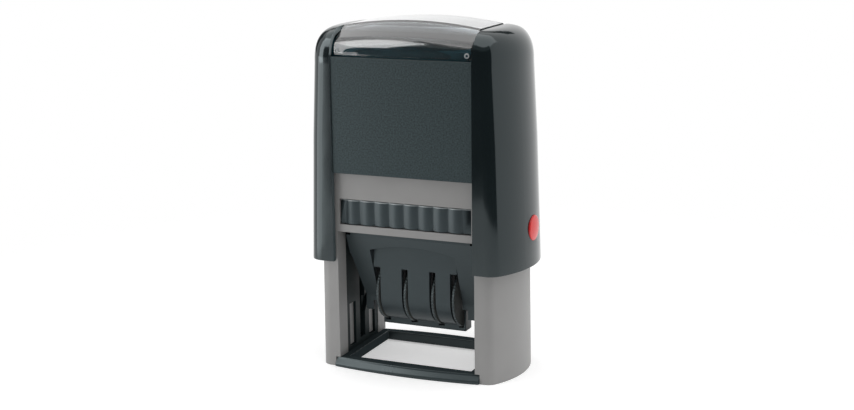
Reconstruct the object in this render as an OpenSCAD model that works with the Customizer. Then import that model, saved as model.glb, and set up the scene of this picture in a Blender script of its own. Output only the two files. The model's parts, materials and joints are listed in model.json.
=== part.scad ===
// Self-inking date stamp: a cap that slides down over a base and flips the die from the ink pad to the paper.
// Millimetres. X runs across, the front faces -Y, Z is up. The origin is on the table, at the middle.

/* [Motion] */
// Travel of the cap from rest to the print
stroke = 33; // [32:0.5:35]
// Distance from the carrier's pivot to the face of the die
die_offset = 6.9; // [6.5:0.1:7.5]
// Gap between the resting die and the ink pad, room for the corner that rises as the carrier turns
pad_gap = 0.4; // [0.3:0.05:0.8]

/* [Base] */
// Width of the base across its curved sides, at the table
base_w = 67.2; // [66:0.2:70]
// Depth of the base
base_d = 33.8; // [33.4:0.2:36]
// Radius of the curved sides in plan
base_side_r = 30; // [28:0.5:36]
// Radius of the corners in plan
base_corner_r = 3.5; // [2.5:0.1:4.5]
// Wall of the base at its thinnest
base_wall = 2; // [1.6:0.1:2.2]
// Loss of half width from the table up to the resting cap's lower edge
base_draft = 0.35; // [0.1:0.05:0.5]
// Loss of half width from the table up to the top edge
base_taper = 1.6; // [1.2:0.1:1.8]
// Loss of half depth from the table up to the top edge
base_depth_taper = 0.3; // [0.1:0.05:0.4]
// Clear width of the front and rear windows
window_w = 46.4; // [46:0.1:47]
// Height of the bar between window and pad slot
crossbar_h = 2.35; // [1.8:0.05:3]
// Depth of the pillar faces that flank the windows
pillar_d = 5.6; // [4.5:0.1:6.5]
// Thickness of those pillar faces
pillar_t = 1.6; // [1.2:0.1:2]
// Thickness of the spring deck
deck_t = 2; // [1.5:0.1:3]
// Height of the base wall above the spring deck
base_rim = 7.4; // [5:0.1:8]

/* [Foot frame] */
// Height of the foot frame
foot_h = 3; // [2.4:0.1:3.2]
// Width of the foot frame
foot_w = 49.5; // [48:0.1:51]
// Width of the printing opening
print_w = 41.8; // [41.6:0.1:42.6]
// Depth of the printing opening
print_d = 28.5; // [28.2:0.1:29]
// How far the front edge bows out at its middle
foot_bow = 1.9; // [1:0.1:2.3]
// How far the ends of that edge stand out from the base
foot_out = 0.9; // [0.4:0.1:1.2]
// Upright part of the bowed edge, below its slope
foot_lip = 1; // [0.5:0.1:1.5]
// How far the slope of the bowed edge draws back
foot_slope = 1.4; // [0.6:0.1:1.8]
// Upright step above that slope
foot_step = 0.5; // [0.3:0.1:0.9]

/* [Guide walls] */
// Thickness of each guide wall
guide_t = 2; // [1.8:0.1:2.2]
// Distance of the follower pin from the pivot
follower_arm = 6; // [5:0.1:6.5]
// Radius of the follower pin
follower_r = 1.2; // [0.9:0.05:1.4]
// Depth of the curved follower groove
groove_depth = 1.2; // [0.8:0.05:1.4]
// Width of the small windows low in the guide wall
port_w = 4.4; // [3:0.1:5]
// Height of those windows
port_h = 8.8; // [6:0.1:10]
// Height of the front ones
port_front_h = 14.4; // [8:0.1:16]
// Distance of those windows' middle from the pivot slot
port_y = 7; // [6:0.1:7.5]
// Height of those windows above the foot frame
port_sill = 1.2; // [0.8:0.1:2]
// How far the base's pads lie back in those windows
port_recess = 0.8; // [0.4:0.1:1.4]

/* [Ink pad] */
// Width of the pad slot
slot_w = 44.6; // [43.6:0.1:45.4]
// Height of the pad slot
slot_h = 8.25; // [7.5:0.05:9]
// Width of the felt
felt_w = 41.4; // [40:0.1:41.8]
// Depth of the felt
felt_d = 25.4; // [24.5:0.1:26]
// Thickness of the felt
felt_t = 4.3; // [3:0.1:4.8]
// Number of full ribs on the finger grip
grip_ribs = 8; // [4:2:10]
// Pitch of those ribs
grip_pitch = 4.97; // [3.6:0.01:5.2]
// How far a rib stands out
grip_depth = 0.8; // [0.4:0.05:1]
// How far the ribs lie to the left of the middle
grip_shift = 0.5; // [0:0.1:1]

/* [Cap] */
// Wall of the cap
cap_wall = 1.6; // [1.4:0.05:1.8]
// Gap from the base's side to the cap
cap_gap = 1.55; // [1.4:0.05:1.8]
// Gap from the base's front to the cap
cap_gap_d = 0.75; // [0.6:0.05:1]
// Loss of half width from the lower edge to the shoulder
cap_taper = 2.45; // [2:0.05:2.6]
// How far the cap's sides swell between the lower edge and the shoulder
cap_swell = 0.25; // [0:0.05:0.4]
// Height of that swell above the lower edge
cap_swell_h = 39.8; // [34:0.1:46]
// Loss of half depth from the lower edge to the shoulder
cap_depth_taper = 0.3; // [0.1:0.05:0.4]
// Radius of the cap's sides in plan
cap_side_r = 32; // [30:0.5:40]
// Radius of the cap's corners in plan
cap_corner_r = 5; // [4:0.1:6]
// Height of the pressed cap's edge above the table
cap_clear = 2.2; // [1.5:0.1:4]
// Room between base top and cap ceiling when pressed
top_room = 4.7; // [4.5:0.1:6]
// Thickness of the roof under the index card
roof_t = 3.7; // [3:0.1:4.5]
// Height of the rounded shoulder
shoulder_h = 11.1; // [9:0.1:12]
// Fullness of the shoulder: 2 is round, more is squarer
shoulder_power = 2.5; // [2:0.1:3]
// How far the shoulder draws in at the sides
shoulder_in = 9.8; // [7:0.1:10.5]
// How far the shoulder draws in at front and rear
shoulder_in_d = 9.4; // [7:0.1:10]
// Clear width between the front pillars of the cap
cap_opening_w = 47; // [46.6:0.1:47.6]
// Thickness of the front and rear panels
panel_t = 1.2; // [0.8:0.05:1.3]
// How far a panel lies behind the pillars' faces
panel_recess = 0.75; // [0.3:0.05:0.8]
// How far a panel overlaps the base
panel_overlap = 1.25; // [0.8:0.05:3]
// Distance from the ceiling down to the start of the shoulder
shoulder_drop = 5; // [4:0.1:6]
// Distance from the ceiling down to a panel's top edge
panel_drop = 2.6; // [2:0.1:3.5]
// Bevel round the lower edge
cap_edge = 0.6; // [0.2:0.05:0.9]

/* [Index window] */
// Wall of the clear window
glass_t = 1.2; // [0.8:0.05:1.3]
// Rise of the window's arch at its middle
glass_arch = 2.3; // [1.5:0.1:3]
// Width of the window
glass_w = 46; // [44:0.1:46.4]
// Depth of the window's flat top
glass_top_d = 18.4; // [16:0.1:20]
// Thickness of the index card
card_t = 0.3; // [0.2:0.05:0.5]
// Room over the card at the ends of the arch
card_room = 0.8; // [0.5:0.05:1.2]
// Distance from the window's top down to the crease in its front
crease_drop = 4.5; // [3.5:0.1:5.5]
// Distance from the flat top's edge out to that crease
crease_out = 6.9; // [5.5:0.1:7]
// How far the window lies behind the panels' faces
glass_recess = 0.4; // [0.2:0.05:0.6]
// Gap between window and panel
glass_gap = 0.5; // [0.3:0.05:0.8]
// Radius of the clip bumps at the window's corners
bump_r = 0.7; // [0.4:0.05:1]

/* [Die carrier] */
// Width of the die
die_w = 41; // [40:0.1:41.2]
// Depth of the die
die_d = 24; // [22:0.1:24.2]
// Thickness of the rubber
rubber_t = 1.8; // [1.4:0.1:2]
// Thickness of the plate under the rubber
mount_t = 2.2; // [2:0.1:2.6]
// Height of the raised print on the rubber
relief = 0.8; // [0.5:0.05:1]
// Width of the carrier
hood_w = 44; // [43:0.1:44.6]
// Depth of the carrier at its top
hood_d = 26.6; // [25:0.1:27]
// Depth of the carrier at its lower edge
hood_low_d = 11.2; // [9:0.1:13]
// Wall of the carrier
hood_t = 1.6; // [1.2:0.05:1.8]
// Width of the arched openings
arch_w = 29.2; // [28.8:0.1:29.4]
// Rise of those arches at their middle
arch_rise = 2.2; // [1:0.1:3]
// Distance from the carrier's top down to the ends of those arches
arch_drop = 4.8; // [4.4:0.1:5.5]
// How far the arms draw in towards their lower ends
arm_in = 3; // [1:0.1:4]
// Height of the upright strips at the arms' lower ends
arm_strip = 2.2; // [1:0.1:3]
// Height of the tabs under those strips
arm_tab = 3.1; // [1:0.1:4]
// Width of those tabs
arm_tab_w = 2.5; // [1.5:0.1:3]
// Thickness of the carrier's top plate
plate_t = 2; // [1.6:0.1:2.2]
// Height of the lips on that plate, in front of the die and behind it
lip_h = 1.8; // [1:0.1:2.2]
// Thickness of those lips
lip_t = 0.9; // [0.6:0.05:1]
// Radius of the pivot pins
pivot_r = 1.5; // [1.2:0.05:1.7]
// Thickness of the cap's legs that carry the pivot pins
leg_t = 2.2; // [1.8:0.1:2.2]
// Width of those legs
leg_w = 9; // [7:0.1:10]

/* [Date wheels] */
// Distance from the pivot to the wheel axle
wheel_drop = 17; // [16.5:0.1:17.3]
// Radius of the thumb discs
disc_r = 9.9; // [9.8:0.05:10.3]
// Thickness of a thumb disc
disc_t = 0.8; // [0.6:0.05:1.4]
// Notches round a thumb disc
disc_notches = 56; // [36:2:72]
// Depth of those notches
notch = 0.25; // [0.1:0.05:0.4]
// Radius of the hubs that carry the bands
hub_r = 6.6; // [5.5:0.05:6.7]
// Thickness of a date band
band_t = 1.2; // [0.8:0.05:1.3]
// Outer radius of the drum cover
drum_r = 9.5; // [9.3:0.05:9.6]
// Wall of the drum cover
drum_t = 1.1; // [0.8:0.05:1.1]
// Width of the slots for the thumb discs
disc_slot_w = 2; // [1.8:0.05:2.4]
// Thickness of the keel under the drum
keel_t = 1.1; // [0.9:0.1:1.6]
// Depth of the keel
keel_d = 4.8; // [4:0.1:7]
// How far the keel stops short of the drum's ends
keel_in = 0; // [0:0.1:0.3]
// Height of the lugs at the keel's ends
lug_h = 5.8; // [3:0.1:6.5]
// Radius of the wheel axle
axle_r = 1.2; // [1:0.05:1.5]
// Pitch of the discs beside the two wide bands
wide_pitch = 9.55; // [9:0.05:9.6]
// Pitch of the discs beside the two narrow bands
narrow_pitch = 7.1; // [6.4:0.05:7.2]
// Height of the disc slots above the axle
slot_rise = 9.1; // [7:0.1:11]
// Half depth of the bar that the bands run over
nose_b = 2.2; // [1.8:0.05:2.4]

/* [Lock buttons] */
// Diameter of the red lock buttons
button_dia = 8; // [7:0.1:9]
// Height of a button's middle above the cap's lower edge
button_rise = 11.8; // [9:0.05:14]
// How far a button stands out of the cap
button_proud = 0.7; // [0.4:0.05:1]
// Travel of a button
button_travel = 1.8; // [1.6:0.05:1.9]

/* [Return spring] */
// Mean radius of the coils
spring_r = 6; // [5.7:0.05:6.4]
// Diameter of the wire
wire_dia = 1.1; // [0.8:0.05:1.2]
// Number of coils
coils = 8; // [6:1:9]
// Height of the cup that holds the spring under the cap
cup_h = 4; // [2:0.1:4.4]

/* [Hidden] */

// Clearances
seat = 0.05;
run = 0.05;
slide = 0.2;
clear = 0.3;
wide_clear = 0.4;
cut = 1;

// Fineness of curves
side_steps = 10;
corner_steps = 6;
shoulder_steps = 8;
$fn = 64;

// Heights, from the table up
pivot_z = stroke + die_offset;
die_face = pivot_z + die_offset;
hood_top = die_face - rubber_t - mount_t;
felt_face = die_face + pad_gap;
tray_low = felt_face - slide / 2;
slot_low = tray_low - slide;
slot_top = slot_low + slot_h;
window_top = slot_low - crossbar_h;
deck_low = slot_top + slide + seat;
deck_top = deck_low + deck_t;
base_h = deck_top + base_rim;
cap_low = stroke + cap_clear;
ceiling = base_h + stroke + top_room;
roof_top = ceiling + roof_t;
shoulder_z = ceiling - shoulder_drop;
cap_top = shoulder_z + shoulder_h;
panel_low = base_h - panel_overlap;
panel_top = ceiling - panel_drop;
glass_low = panel_top + glass_gap;
glass_top = roof_top + card_t + card_room + glass_arch + glass_t;
crease_z = glass_top - crease_drop;
crease_y = glass_top_d / 2 + crease_out;
button_z = cap_low + button_rise;

// Half widths and half depths
base_a = base_w / 2;
base_b = base_d / 2;
cavity_a = base_a - base_taper - base_wall;
cavity_b = base_b - base_depth_taper - base_wall;
cap_a = base_a + cap_gap + cap_wall;
cap_b = base_b + cap_gap_d + cap_wall;
shoulder_a = cap_a - cap_taper;
shoulder_b = cap_b - cap_depth_taper;
swell_share = cap_swell_h / (shoulder_z - cap_low);
swell_a = cap_a - cap_taper * swell_share + cap_swell;
swell_b = cap_b - cap_depth_taper * swell_share;
panel_y = cap_b - panel_recess;
glass_y = panel_y - glass_recess;
guide_x = window_w / 2 + slide;
leg_x = guide_x + guide_t + wide_clear;
guide_b = base_b - pillar_d - seat;
tray_a = slot_w / 2 - slide;

// Date wheels: place of each thumb disc, and the stretch of its hub
wheel_z = pivot_z - wheel_drop;
disc_a = wide_pitch + narrow_pitch / 2;
disc_x = [-disc_a, -disc_a + wide_pitch, disc_a - narrow_pitch, disc_a];
hub_gap = 0.5;
narrow_hub = (narrow_pitch - disc_t - hub_gap) / 2;
wide_hub = wide_pitch - disc_t - hub_gap;
hub_w = [wide_hub, wide_hub, narrow_hub, narrow_hub];
hub_side = [1, 1, 1, -1];
keel_top = wheel_z - disc_r - clear;
keel_low = keel_top - keel_t;

// Die carrier
cheek_x = arch_w / 2 + clear;
hood_below = 1;
hood_low = wheel_z - hood_below;
hood_slope = (hood_d - hood_low_d) / 2 / (hood_top - hood_low);
arch_z = hood_top - arch_drop;
plate_low = hood_top - plate_t;
date_edge = 1;
date_room = 1.1;
date_w = 2 * (cheek_x - date_edge);
date_d = 2 * (nose_b + band_t + date_room);
drum_a = arch_w / 2 - slide;
keel_a = drum_a - keel_in;
lug_x = disc_a + disc_t / 2 + slide;
nose_r = band_t + wide_clear;
pin_wall = 2;
cheek_boss_r = axle_r + pin_wall;
cheek_tab = 2 * (follower_r + pin_wall);
leg_end_r = pivot_r + pin_wall;

// Lock buttons
flange_over = 0.8;
flange_t = 0.5;
flange_depth = 1.4;
flange_r = button_dia / 2 + flange_over;
wall_out = cap_a - (cap_a - swell_a) * button_rise / cap_swell_h;
flange_out = wall_out - flange_depth;
button_in = flange_out - flange_t;

// Ink pad tray
tray_front = base_b - slide;
tray_back = cavity_b - clear;
tray_high = slot_top - slide;
tray_wall = 1.2;
rail_t = 1.2;
rail_w = 0.6;

// Points of one quarter of a plan outline: a curved side, then a corner
function quarter(a, b, side_r, corner_r) =
    let (
        cx = a - side_r,
        fy = b - corner_r,
        fx = cx + sqrt(pow(side_r - corner_r, 2) - fy * fy),
        turn = atan2(fy, fx - cx)
    )
    concat(
        [for (i = [0 : side_steps])
            let (t = turn * i / side_steps)
            [cx + side_r * cos(t), side_r * sin(t)]],
        [for (i = [1 : corner_steps])
            let (t = turn + (90 - turn) * i / corner_steps)
            [fx + corner_r * cos(t), fy + corner_r * sin(t)]]
    );

// Whole plan outline, anticlockwise from the middle of the right side
function plan(a, b, side_r, corner_r) =
    let (q = quarter(a, b, side_r, corner_r), n = len(q) - 1)
    concat(
        q,
        [for (i = [n : -1 : 0]) [-q[i].x, q[i].y]],
        [for (i = [1 : n]) [-q[i].x, -q[i].y]],
        [for (i = [n : -1 : 1]) [q[i].x, -q[i].y]]
    );

function ring(points, z) = [for (p = points) [p.x, p.y, z]];

// Solid through a stack of rings that have equal numbers of points.
// The ends are flat faces, or strips across where a ring is a thin bent sheet
module loft(rings, strip = false) {
    n = len(rings[0]);
    last = len(rings) - 1;
    low_end = strip ? [for (i = [0 : n / 2 - 2]) each [[i, i + 1, n - 2 - i], [i, n - 2 - i, n - 1 - i]]]
        : [[for (i = [0 : n - 1]) i]];
    high_end = [for (f = low_end) [for (k = [len(f) - 1 : -1 : 0]) last * n + f[k]]];
    polyhedron(
        points = [for (r = rings) each r],
        faces = concat(
            low_end,
            [for (k = [0 : last - 1]) for (i = [0 : n - 1])
                let (j = (i + 1) % n)
                each [
                    [k * n + i, (k + 1) * n + i, (k + 1) * n + j],
                    [k * n + i, (k + 1) * n + j, k * n + j]
                ]],
            high_end
        )
    );
}

// Box from one corner to the opposite one
module block(low, high) {
    translate(low) cube(high - low);
}

// Flat shape in Y and Z, drawn out along X
module along_x(x0, x1) {
    translate([x0, 0, 0]) rotate([90, 0, 90]) linear_extrude(x1 - x0) children();
}

// Round bar along X
module rod_x(x0, x1, y, z, r) {
    translate([x0, y, z]) rotate([0, 90, 0]) cylinder(h = x1 - x0, r = r);
}

// Base

module base_shell() {
    color("darkgray") difference() {
        union() {
            difference() {
                base_form();
                translate([0, 0, -cut]) linear_extrude(base_h + 2 * cut)
                    polygon(plan(cavity_a, cavity_b, base_side_r - base_wall, base_corner_r - base_wall / 2));
            }
            intersection() {
                base_form();
                pillar_faces();
            }
            port_pads();
        }
        block([-window_w / 2, -base_d, -cut], [window_w / 2, base_d, window_top]);
        block([-slot_w / 2, -base_d, slot_low], [slot_w / 2, 0, slot_top]);
        block([-foot_w / 2 - seat, -base_d, -cut], [foot_w / 2 + seat, base_d, foot_h + seat]);
        for (side = [-1, 1]) lock_pocket(side);
    }
}

module base_form() {
    loft([
        ring(plan(base_a, base_b, base_side_r, base_corner_r), 0),
        ring(plan(base_a - base_draft, base_b, base_side_r, base_corner_r), cap_low),
        ring(plan(base_a - base_taper, base_b - base_depth_taper, base_side_r, base_corner_r), base_h)
    ]);
}

module pillar_faces() {
    for (x = [0, 1]) for (y = [0, 1]) mirror([x, 0, 0]) mirror([0, y, 0])
        block([window_w / 2, base_b - pillar_d, 0], [window_w / 2 + pillar_t, base_b, deck_low]);
}

// Pads on the base's side walls that show in the guide walls' small windows
module port_pads() {
    pad_w = port_w - 2 * slide;
    pad_low = foot_h + port_sill + slide;
    for (side = [-1, 1]) for (y = [-1, 1]) {
        pad_h = (y < 0 ? port_front_h : port_h) - 2 * slide;
        block(
            [side > 0 ? guide_x + port_recess : -cavity_a - seat, y * port_y - pad_w / 2, pad_low],
            [side > 0 ? cavity_a + seat : -guide_x - port_recess, y * port_y + pad_w / 2, pad_low + pad_h]
        );
    }
}

module lock_pocket(side) {
    pocket_x = button_in - button_travel - wide_clear;
    rod_x(side > 0 ? pocket_x : -base_w, side > 0 ? base_w : -pocket_x, 0, button_z, flange_r + wide_clear);
}

module foot_frame() {
    color("black") difference() {
        union() {
            foot_half(1);
            foot_half(-1);
        }
        block([-print_w / 2, -print_d / 2, -cut], [print_w / 2, print_d / 2, foot_h + cut]);
    }
}

// Front or rear half of the foot frame, out to its bowed edge: slices of flat discs and a cone
module foot_half(side) {
    bow_r = (foot_w * foot_w / 4 + foot_bow * foot_bow) / (2 * foot_bow);
    slope_h = foot_h - foot_lip - foot_step;
    intersection() {
        translate([0, side * (base_b + foot_out + foot_bow - bow_r), 0]) {
            cylinder(h = foot_lip, r = bow_r, $fn = 256);
            translate([0, 0, foot_lip]) cylinder(h = slope_h, r1 = bow_r, r2 = bow_r - foot_slope, $fn = 256);
            cylinder(h = foot_h, r = bow_r - foot_slope, $fn = 256);
        }
        block(
            [-foot_w / 2, side > 0 ? -cut : -base_d, 0],
            [foot_w / 2, side > 0 ? base_d : cut, foot_h]
        );
    }
}

// Path of the follower pin in Y and Z, as the cap goes down and the carrier turns
path_steps = 36;
function path_point(i) =
    let (t = 180 * i / path_steps)
    [follower_arm * sin(t), pivot_z - stroke * i / path_steps - follower_arm * cos(t)];
function path_side(i, off) =
    let (
        d = path_point(min(i + 1, path_steps)) - path_point(max(i - 1, 0)),
        n = [-d.y, d.x] / norm(d)
    )
    path_point(i) + off * n;

module guide_wall(side) {
    groove_half = follower_r + clear;
    x_in = side > 0 ? guide_x : -guide_x - guide_t;
    floor_x = guide_x + groove_depth;
    color("dimgray") difference() {
        union() {
            block([x_in, -guide_b, foot_h + seat], [x_in + guide_t, guide_b, deck_low]);
            block(
                [side > 0 ? tray_a - rail_w : -guide_x - seat, -guide_b, slot_low - rail_t],
                [side > 0 ? guide_x + seat : -tray_a + rail_w, guide_b, slot_low]
            );
        }
        along_x(x_in - cut, x_in + guide_t + cut)
            translate([-pivot_r - clear, die_offset - pivot_r - clear])
                square([2 * (pivot_r + clear), stroke + 2 * (pivot_r + clear)]);
        along_x(side > 0 ? guide_x - cut / 2 : -floor_x, side > 0 ? floor_x : cut / 2 - guide_x) {
            polygon(concat(
                [for (i = [0 : path_steps]) path_side(i, groove_half)],
                [for (i = [path_steps : -1 : 0]) path_side(i, -groove_half)]
            ));
            for (i = [0, path_steps]) translate(path_point(i)) circle(groove_half);
        }
        for (y = [-1, 1])
            along_x(x_in - cut, x_in + guide_t + cut)
                translate([y * port_y - port_w / 2, foot_h + port_sill])
                    square([port_w, y < 0 ? port_front_h : port_h]);
    }
}

module guide_left() {
    guide_wall(-1);
}

module guide_right() {
    guide_wall(1);
}

module spring_deck() {
    color("dimgray") {
        block(
            [-guide_x - guide_t + seat, -cavity_b + seat, deck_low],
            [guide_x + guide_t - seat, cavity_b - seat, deck_top]
        );
        translate([0, 0, deck_top])
            cylinder(h = base_rim - wide_clear, r = spring_r - wire_dia / 2 - wide_clear);
    }
}

// Helix of the return spring
spring_low = deck_top + wire_dia / 2 + seat;
spring_high = ceiling - wire_dia / 2 - seat;
rings_per_coil = 8;
wire_sides = 6;
spring_rings = coils * rings_per_coil;
function helix(i) =
    let (t = 360 * i / rings_per_coil)
    [spring_r * cos(t), spring_r * sin(t), spring_low + (spring_high - spring_low) * i / spring_rings];
function wire_ring(i) =
    let (
        t = 360 * i / rings_per_coil,
        p = helix(i),
        out = [cos(t), sin(t), 0],
        rise = (spring_high - spring_low) / coils,
        along = [-sin(t) * 2 * PI * spring_r, cos(t) * 2 * PI * spring_r, rise],
        up = cross(out, along) / norm(along)
    )
    [for (k = [0 : wire_sides - 1])
        let (a = 360 * k / wire_sides)
        p + wire_dia / 2 * (cos(a) * out - sin(a) * up)];
turn_steps = [for (i = [0 : spring_rings - rings_per_coil]) norm(helix(i + rings_per_coil) - helix(i))];
spring_gap = min(turn_steps) - wire_dia;
echo(spring_gap = spring_gap);

module return_spring() {
    color("silver") loft([for (i = [0 : spring_rings]) wire_ring(i)]);
}

// Cap

function shoulder_ring(i) =
    let (
        t = 90 * i / shoulder_steps,
        draw = 1 - pow(cos(t), 2 / shoulder_power),
        rise = pow(sin(t), 2 / shoulder_power)
    )
    ring(
        plan(shoulder_a - shoulder_in * draw, shoulder_b - shoulder_in_d * draw, cap_side_r, cap_corner_r),
        shoulder_z + shoulder_h * rise
    );

module cap_form() {
    loft(concat(
        [
            ring(plan(cap_a - cap_edge, cap_b - cap_edge, cap_side_r, cap_corner_r), cap_low),
            ring(plan(cap_a, cap_b, cap_side_r, cap_corner_r), cap_low + cap_edge),
            ring(plan(swell_a, swell_b, cap_side_r, cap_corner_r), cap_low + cap_swell_h)
        ],
        [for (i = [0 : shoulder_steps]) shoulder_ring(i)]
    ));
}

module cap_cavity() {
    skirt_z = panel_top - cap_wall;
    share = (skirt_z - cap_low) / (shoulder_z - cap_low);
    side_r = cap_side_r - cap_wall;
    corner_r = cap_corner_r - cap_wall;
    top_a = cap_a - cap_taper * share - cap_wall;
    top_b = cap_b - cap_depth_taper * share - cap_wall;
    loft([
        ring(plan(cap_a - cap_wall, cap_b - cap_wall, side_r, corner_r), cap_low - cut),
        ring(plan(top_a, top_b, side_r, corner_r), skirt_z)
    ]);
    translate([0, 0, skirt_z - cut]) linear_extrude(ceiling - skirt_z + cut)
        polygon(plan(cavity_a, cavity_b, base_side_r - base_wall, base_corner_r - base_wall / 2));
}

// Roof under the index window, in Y and Z
module roof_outline() {
    face_y = glass_y - glass_t - wide_clear;
    half = [
        [face_y, panel_top - cut], [face_y, panel_top + bulge_rise],
        [crease_y - glass_t - wide_clear, crease_z - glass_arch], [glass_top_d / 2 - bend, roof_top]
    ];
    polygon(concat([for (p = half) [-p.x, p.y]], [for (k = [len(half) - 1 : -1 : 0]) half[k]]));
}

module cap_shell() {
    color([0.09, 0.11, 0.12]) {
        difference() {
            cap_form();
            cap_cavity();
            block([-cap_opening_w / 2, -cap_b - cut, 0], [cap_opening_w / 2, cap_b + cut, panel_top + seat]);
            difference() {
                block(
                    [-glass_w / 2 - seat, -cap_b - cut, panel_top],
                    [glass_w / 2 + seat, cap_b + cut, cap_top + cut]
                );
                along_x(-glass_w, glass_w) roof_outline();
            }
            for (side = [-1, 1]) button_bore(side);
        }
        translate([0, 0, ceiling - cup_h]) difference() {
            cylinder(h = cup_h + clear, r = spring_r + wire_dia / 2 + wide_clear + cap_wall);
            translate([0, 0, -cut]) cylinder(h = cup_h + cut, r = spring_r + wire_dia / 2 + wide_clear);
        }
    }
}

module button_bore(side) {
    deep = cap_a + cut;
    floor_x = flange_out + slide;
    rod_x(side > 0 ? 0 : -deep, side > 0 ? deep : 0, 0, button_z, button_dia / 2 + run);
    rod_x(side > 0 ? 0 : -floor_x, side > 0 ? floor_x : 0, 0, button_z, flange_r + slide);
}

module panel(side) {
    y_out = side * panel_y;
    y_in = side * (panel_y - panel_t);
    color([0.16, 0.18, 0.19]) block(
        [-cap_opening_w / 2 + seat, min(y_in, y_out), panel_low],
        [cap_opening_w / 2 - seat, max(y_in, y_out), panel_top]
    );
}

module front_panel() {
    panel(-1);
}

module rear_panel() {
    panel(1);
}

module leg(side) {
    color("dimgray") difference() {
        block(
            [side > 0 ? leg_x : -leg_x - leg_t, -leg_w / 2, pivot_z],
            [side > 0 ? leg_x + leg_t : -leg_x, leg_w / 2, ceiling]
        );
        leg_bore(side);
    }
    color("dimgray") difference() {
        rod_x(side > 0 ? leg_x : -leg_x - leg_t, side > 0 ? leg_x + leg_t : -leg_x, 0, pivot_z, leg_end_r);
        leg_bore(side);
    }
}

module leg_bore(side) {
    rod_x(side * leg_x - leg_t - cut, side * leg_x + leg_t + cut, 0, pivot_z, pivot_r + run);
}

module cap_leg_left() {
    leg(-1);
}

module cap_leg_right() {
    leg(1);
}

module index_card() {
    color("whitesmoke") block(
        [-glass_w / 2 + card_edge, -glass_top_d / 2 + card_edge, roof_top],
        [glass_w / 2 - card_edge, glass_top_d / 2 - card_edge, roof_top + card_t]
    );
}

// Clear index window: a bent sheet, as rings in Y and Z that run along X and drop towards the ends
glass_stations = 12;
card_edge = 1;
bulge = 0.15;
bulge_rise = 2.6;
fold = 0.9;
fold_drop = 1.3;
bend = 0.8;
bend_drop = 0.45;
function glass_line(u, inset) =
    let (
        drop = glass_arch * u * u,
        low = [glass_y - inset, glass_low],
        belly = [glass_y + bulge - inset, glass_low + bulge_rise],
        below = [crease_y + fold - inset, crease_z - fold_drop - (drop + inset) / 2],
        crease = [crease_y - inset / 2, crease_z - drop / 2 - inset],
        before = [glass_top_d / 2 + bend - inset / 2, glass_top - bend_drop - drop - inset],
        top = [glass_top_d / 2 - bend - inset / 2, glass_top - drop - inset]
    )
    [low, belly, below, crease, before, top];
function glass_ring(i) =
    let (
        u = 2 * i / glass_stations - 1,
        outer = glass_line(u, 0),
        inner = glass_line(u, glass_t),
        n = len(outer) - 1,
        x = u * glass_w / 2
    )
    concat(
        [for (p = outer) [x, -p.x, p.y]],
        [for (k = [n : -1 : 0]) [x, outer[k].x, outer[k].y]],
        [for (p = inner) [x, p.x, p.y]],
        [for (k = [n : -1 : 0]) [x, -inner[k].x, inner[k].y]]
    );

module index_window() {
    color([0.85, 0.9, 0.92, 0.5]) {
        loft([for (i = [glass_stations : -1 : 0]) glass_ring(i)], true);
        for (x = [-1, 1]) for (y = [-1, 1])
            translate([x * (glass_w / 2 - 2 * bump_r), y * (glass_y - glass_t / 2), glass_low + 1.5 * bump_r])
                rotate([-y * 90, 0, 0]) cylinder(h = glass_t, r = bump_r);
    }
}

// Die carrier

module hood_outline(inset) {
    top_b = hood_d / 2 - inset;
    low_b = hood_low_d / 2 - inset;
    polygon([[-top_b, hood_top], [-low_b, hood_low], [low_b, hood_low], [top_b, hood_top]]);
}

// Outline of an arched opening, in X and Z
module arch_outline() {
    arch_r = (arch_w * arch_w / 4 + arch_rise * arch_rise) / (2 * arch_rise);
    intersection() {
        translate([-arch_w / 2, 0]) square([arch_w, hood_top]);
        translate([0, arch_z + arch_rise - arch_r]) circle(arch_r, $fn = 256);
    }
}

// Lower end of an arm: an upright strip, with a tab at its outer side
module arm_end(side, y) {
    outer = hood_w / 2 - arm_in;
    inner = outer - arm_tab_w;
    near = y > 0 ? hood_low_d / 2 - hood_t : -hood_low_d / 2;
    strip_low = hood_low - arm_strip;
    block(
        [side > 0 ? arch_w / 2 : -outer, near, strip_low],
        [side > 0 ? outer : -arch_w / 2, near + hood_t, hood_low + seat]
    );
    block(
        [side > 0 ? inner : -outer, near, strip_low - arm_tab],
        [side > 0 ? outer : -inner, near + hood_t, hood_low]
    );
}

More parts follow.
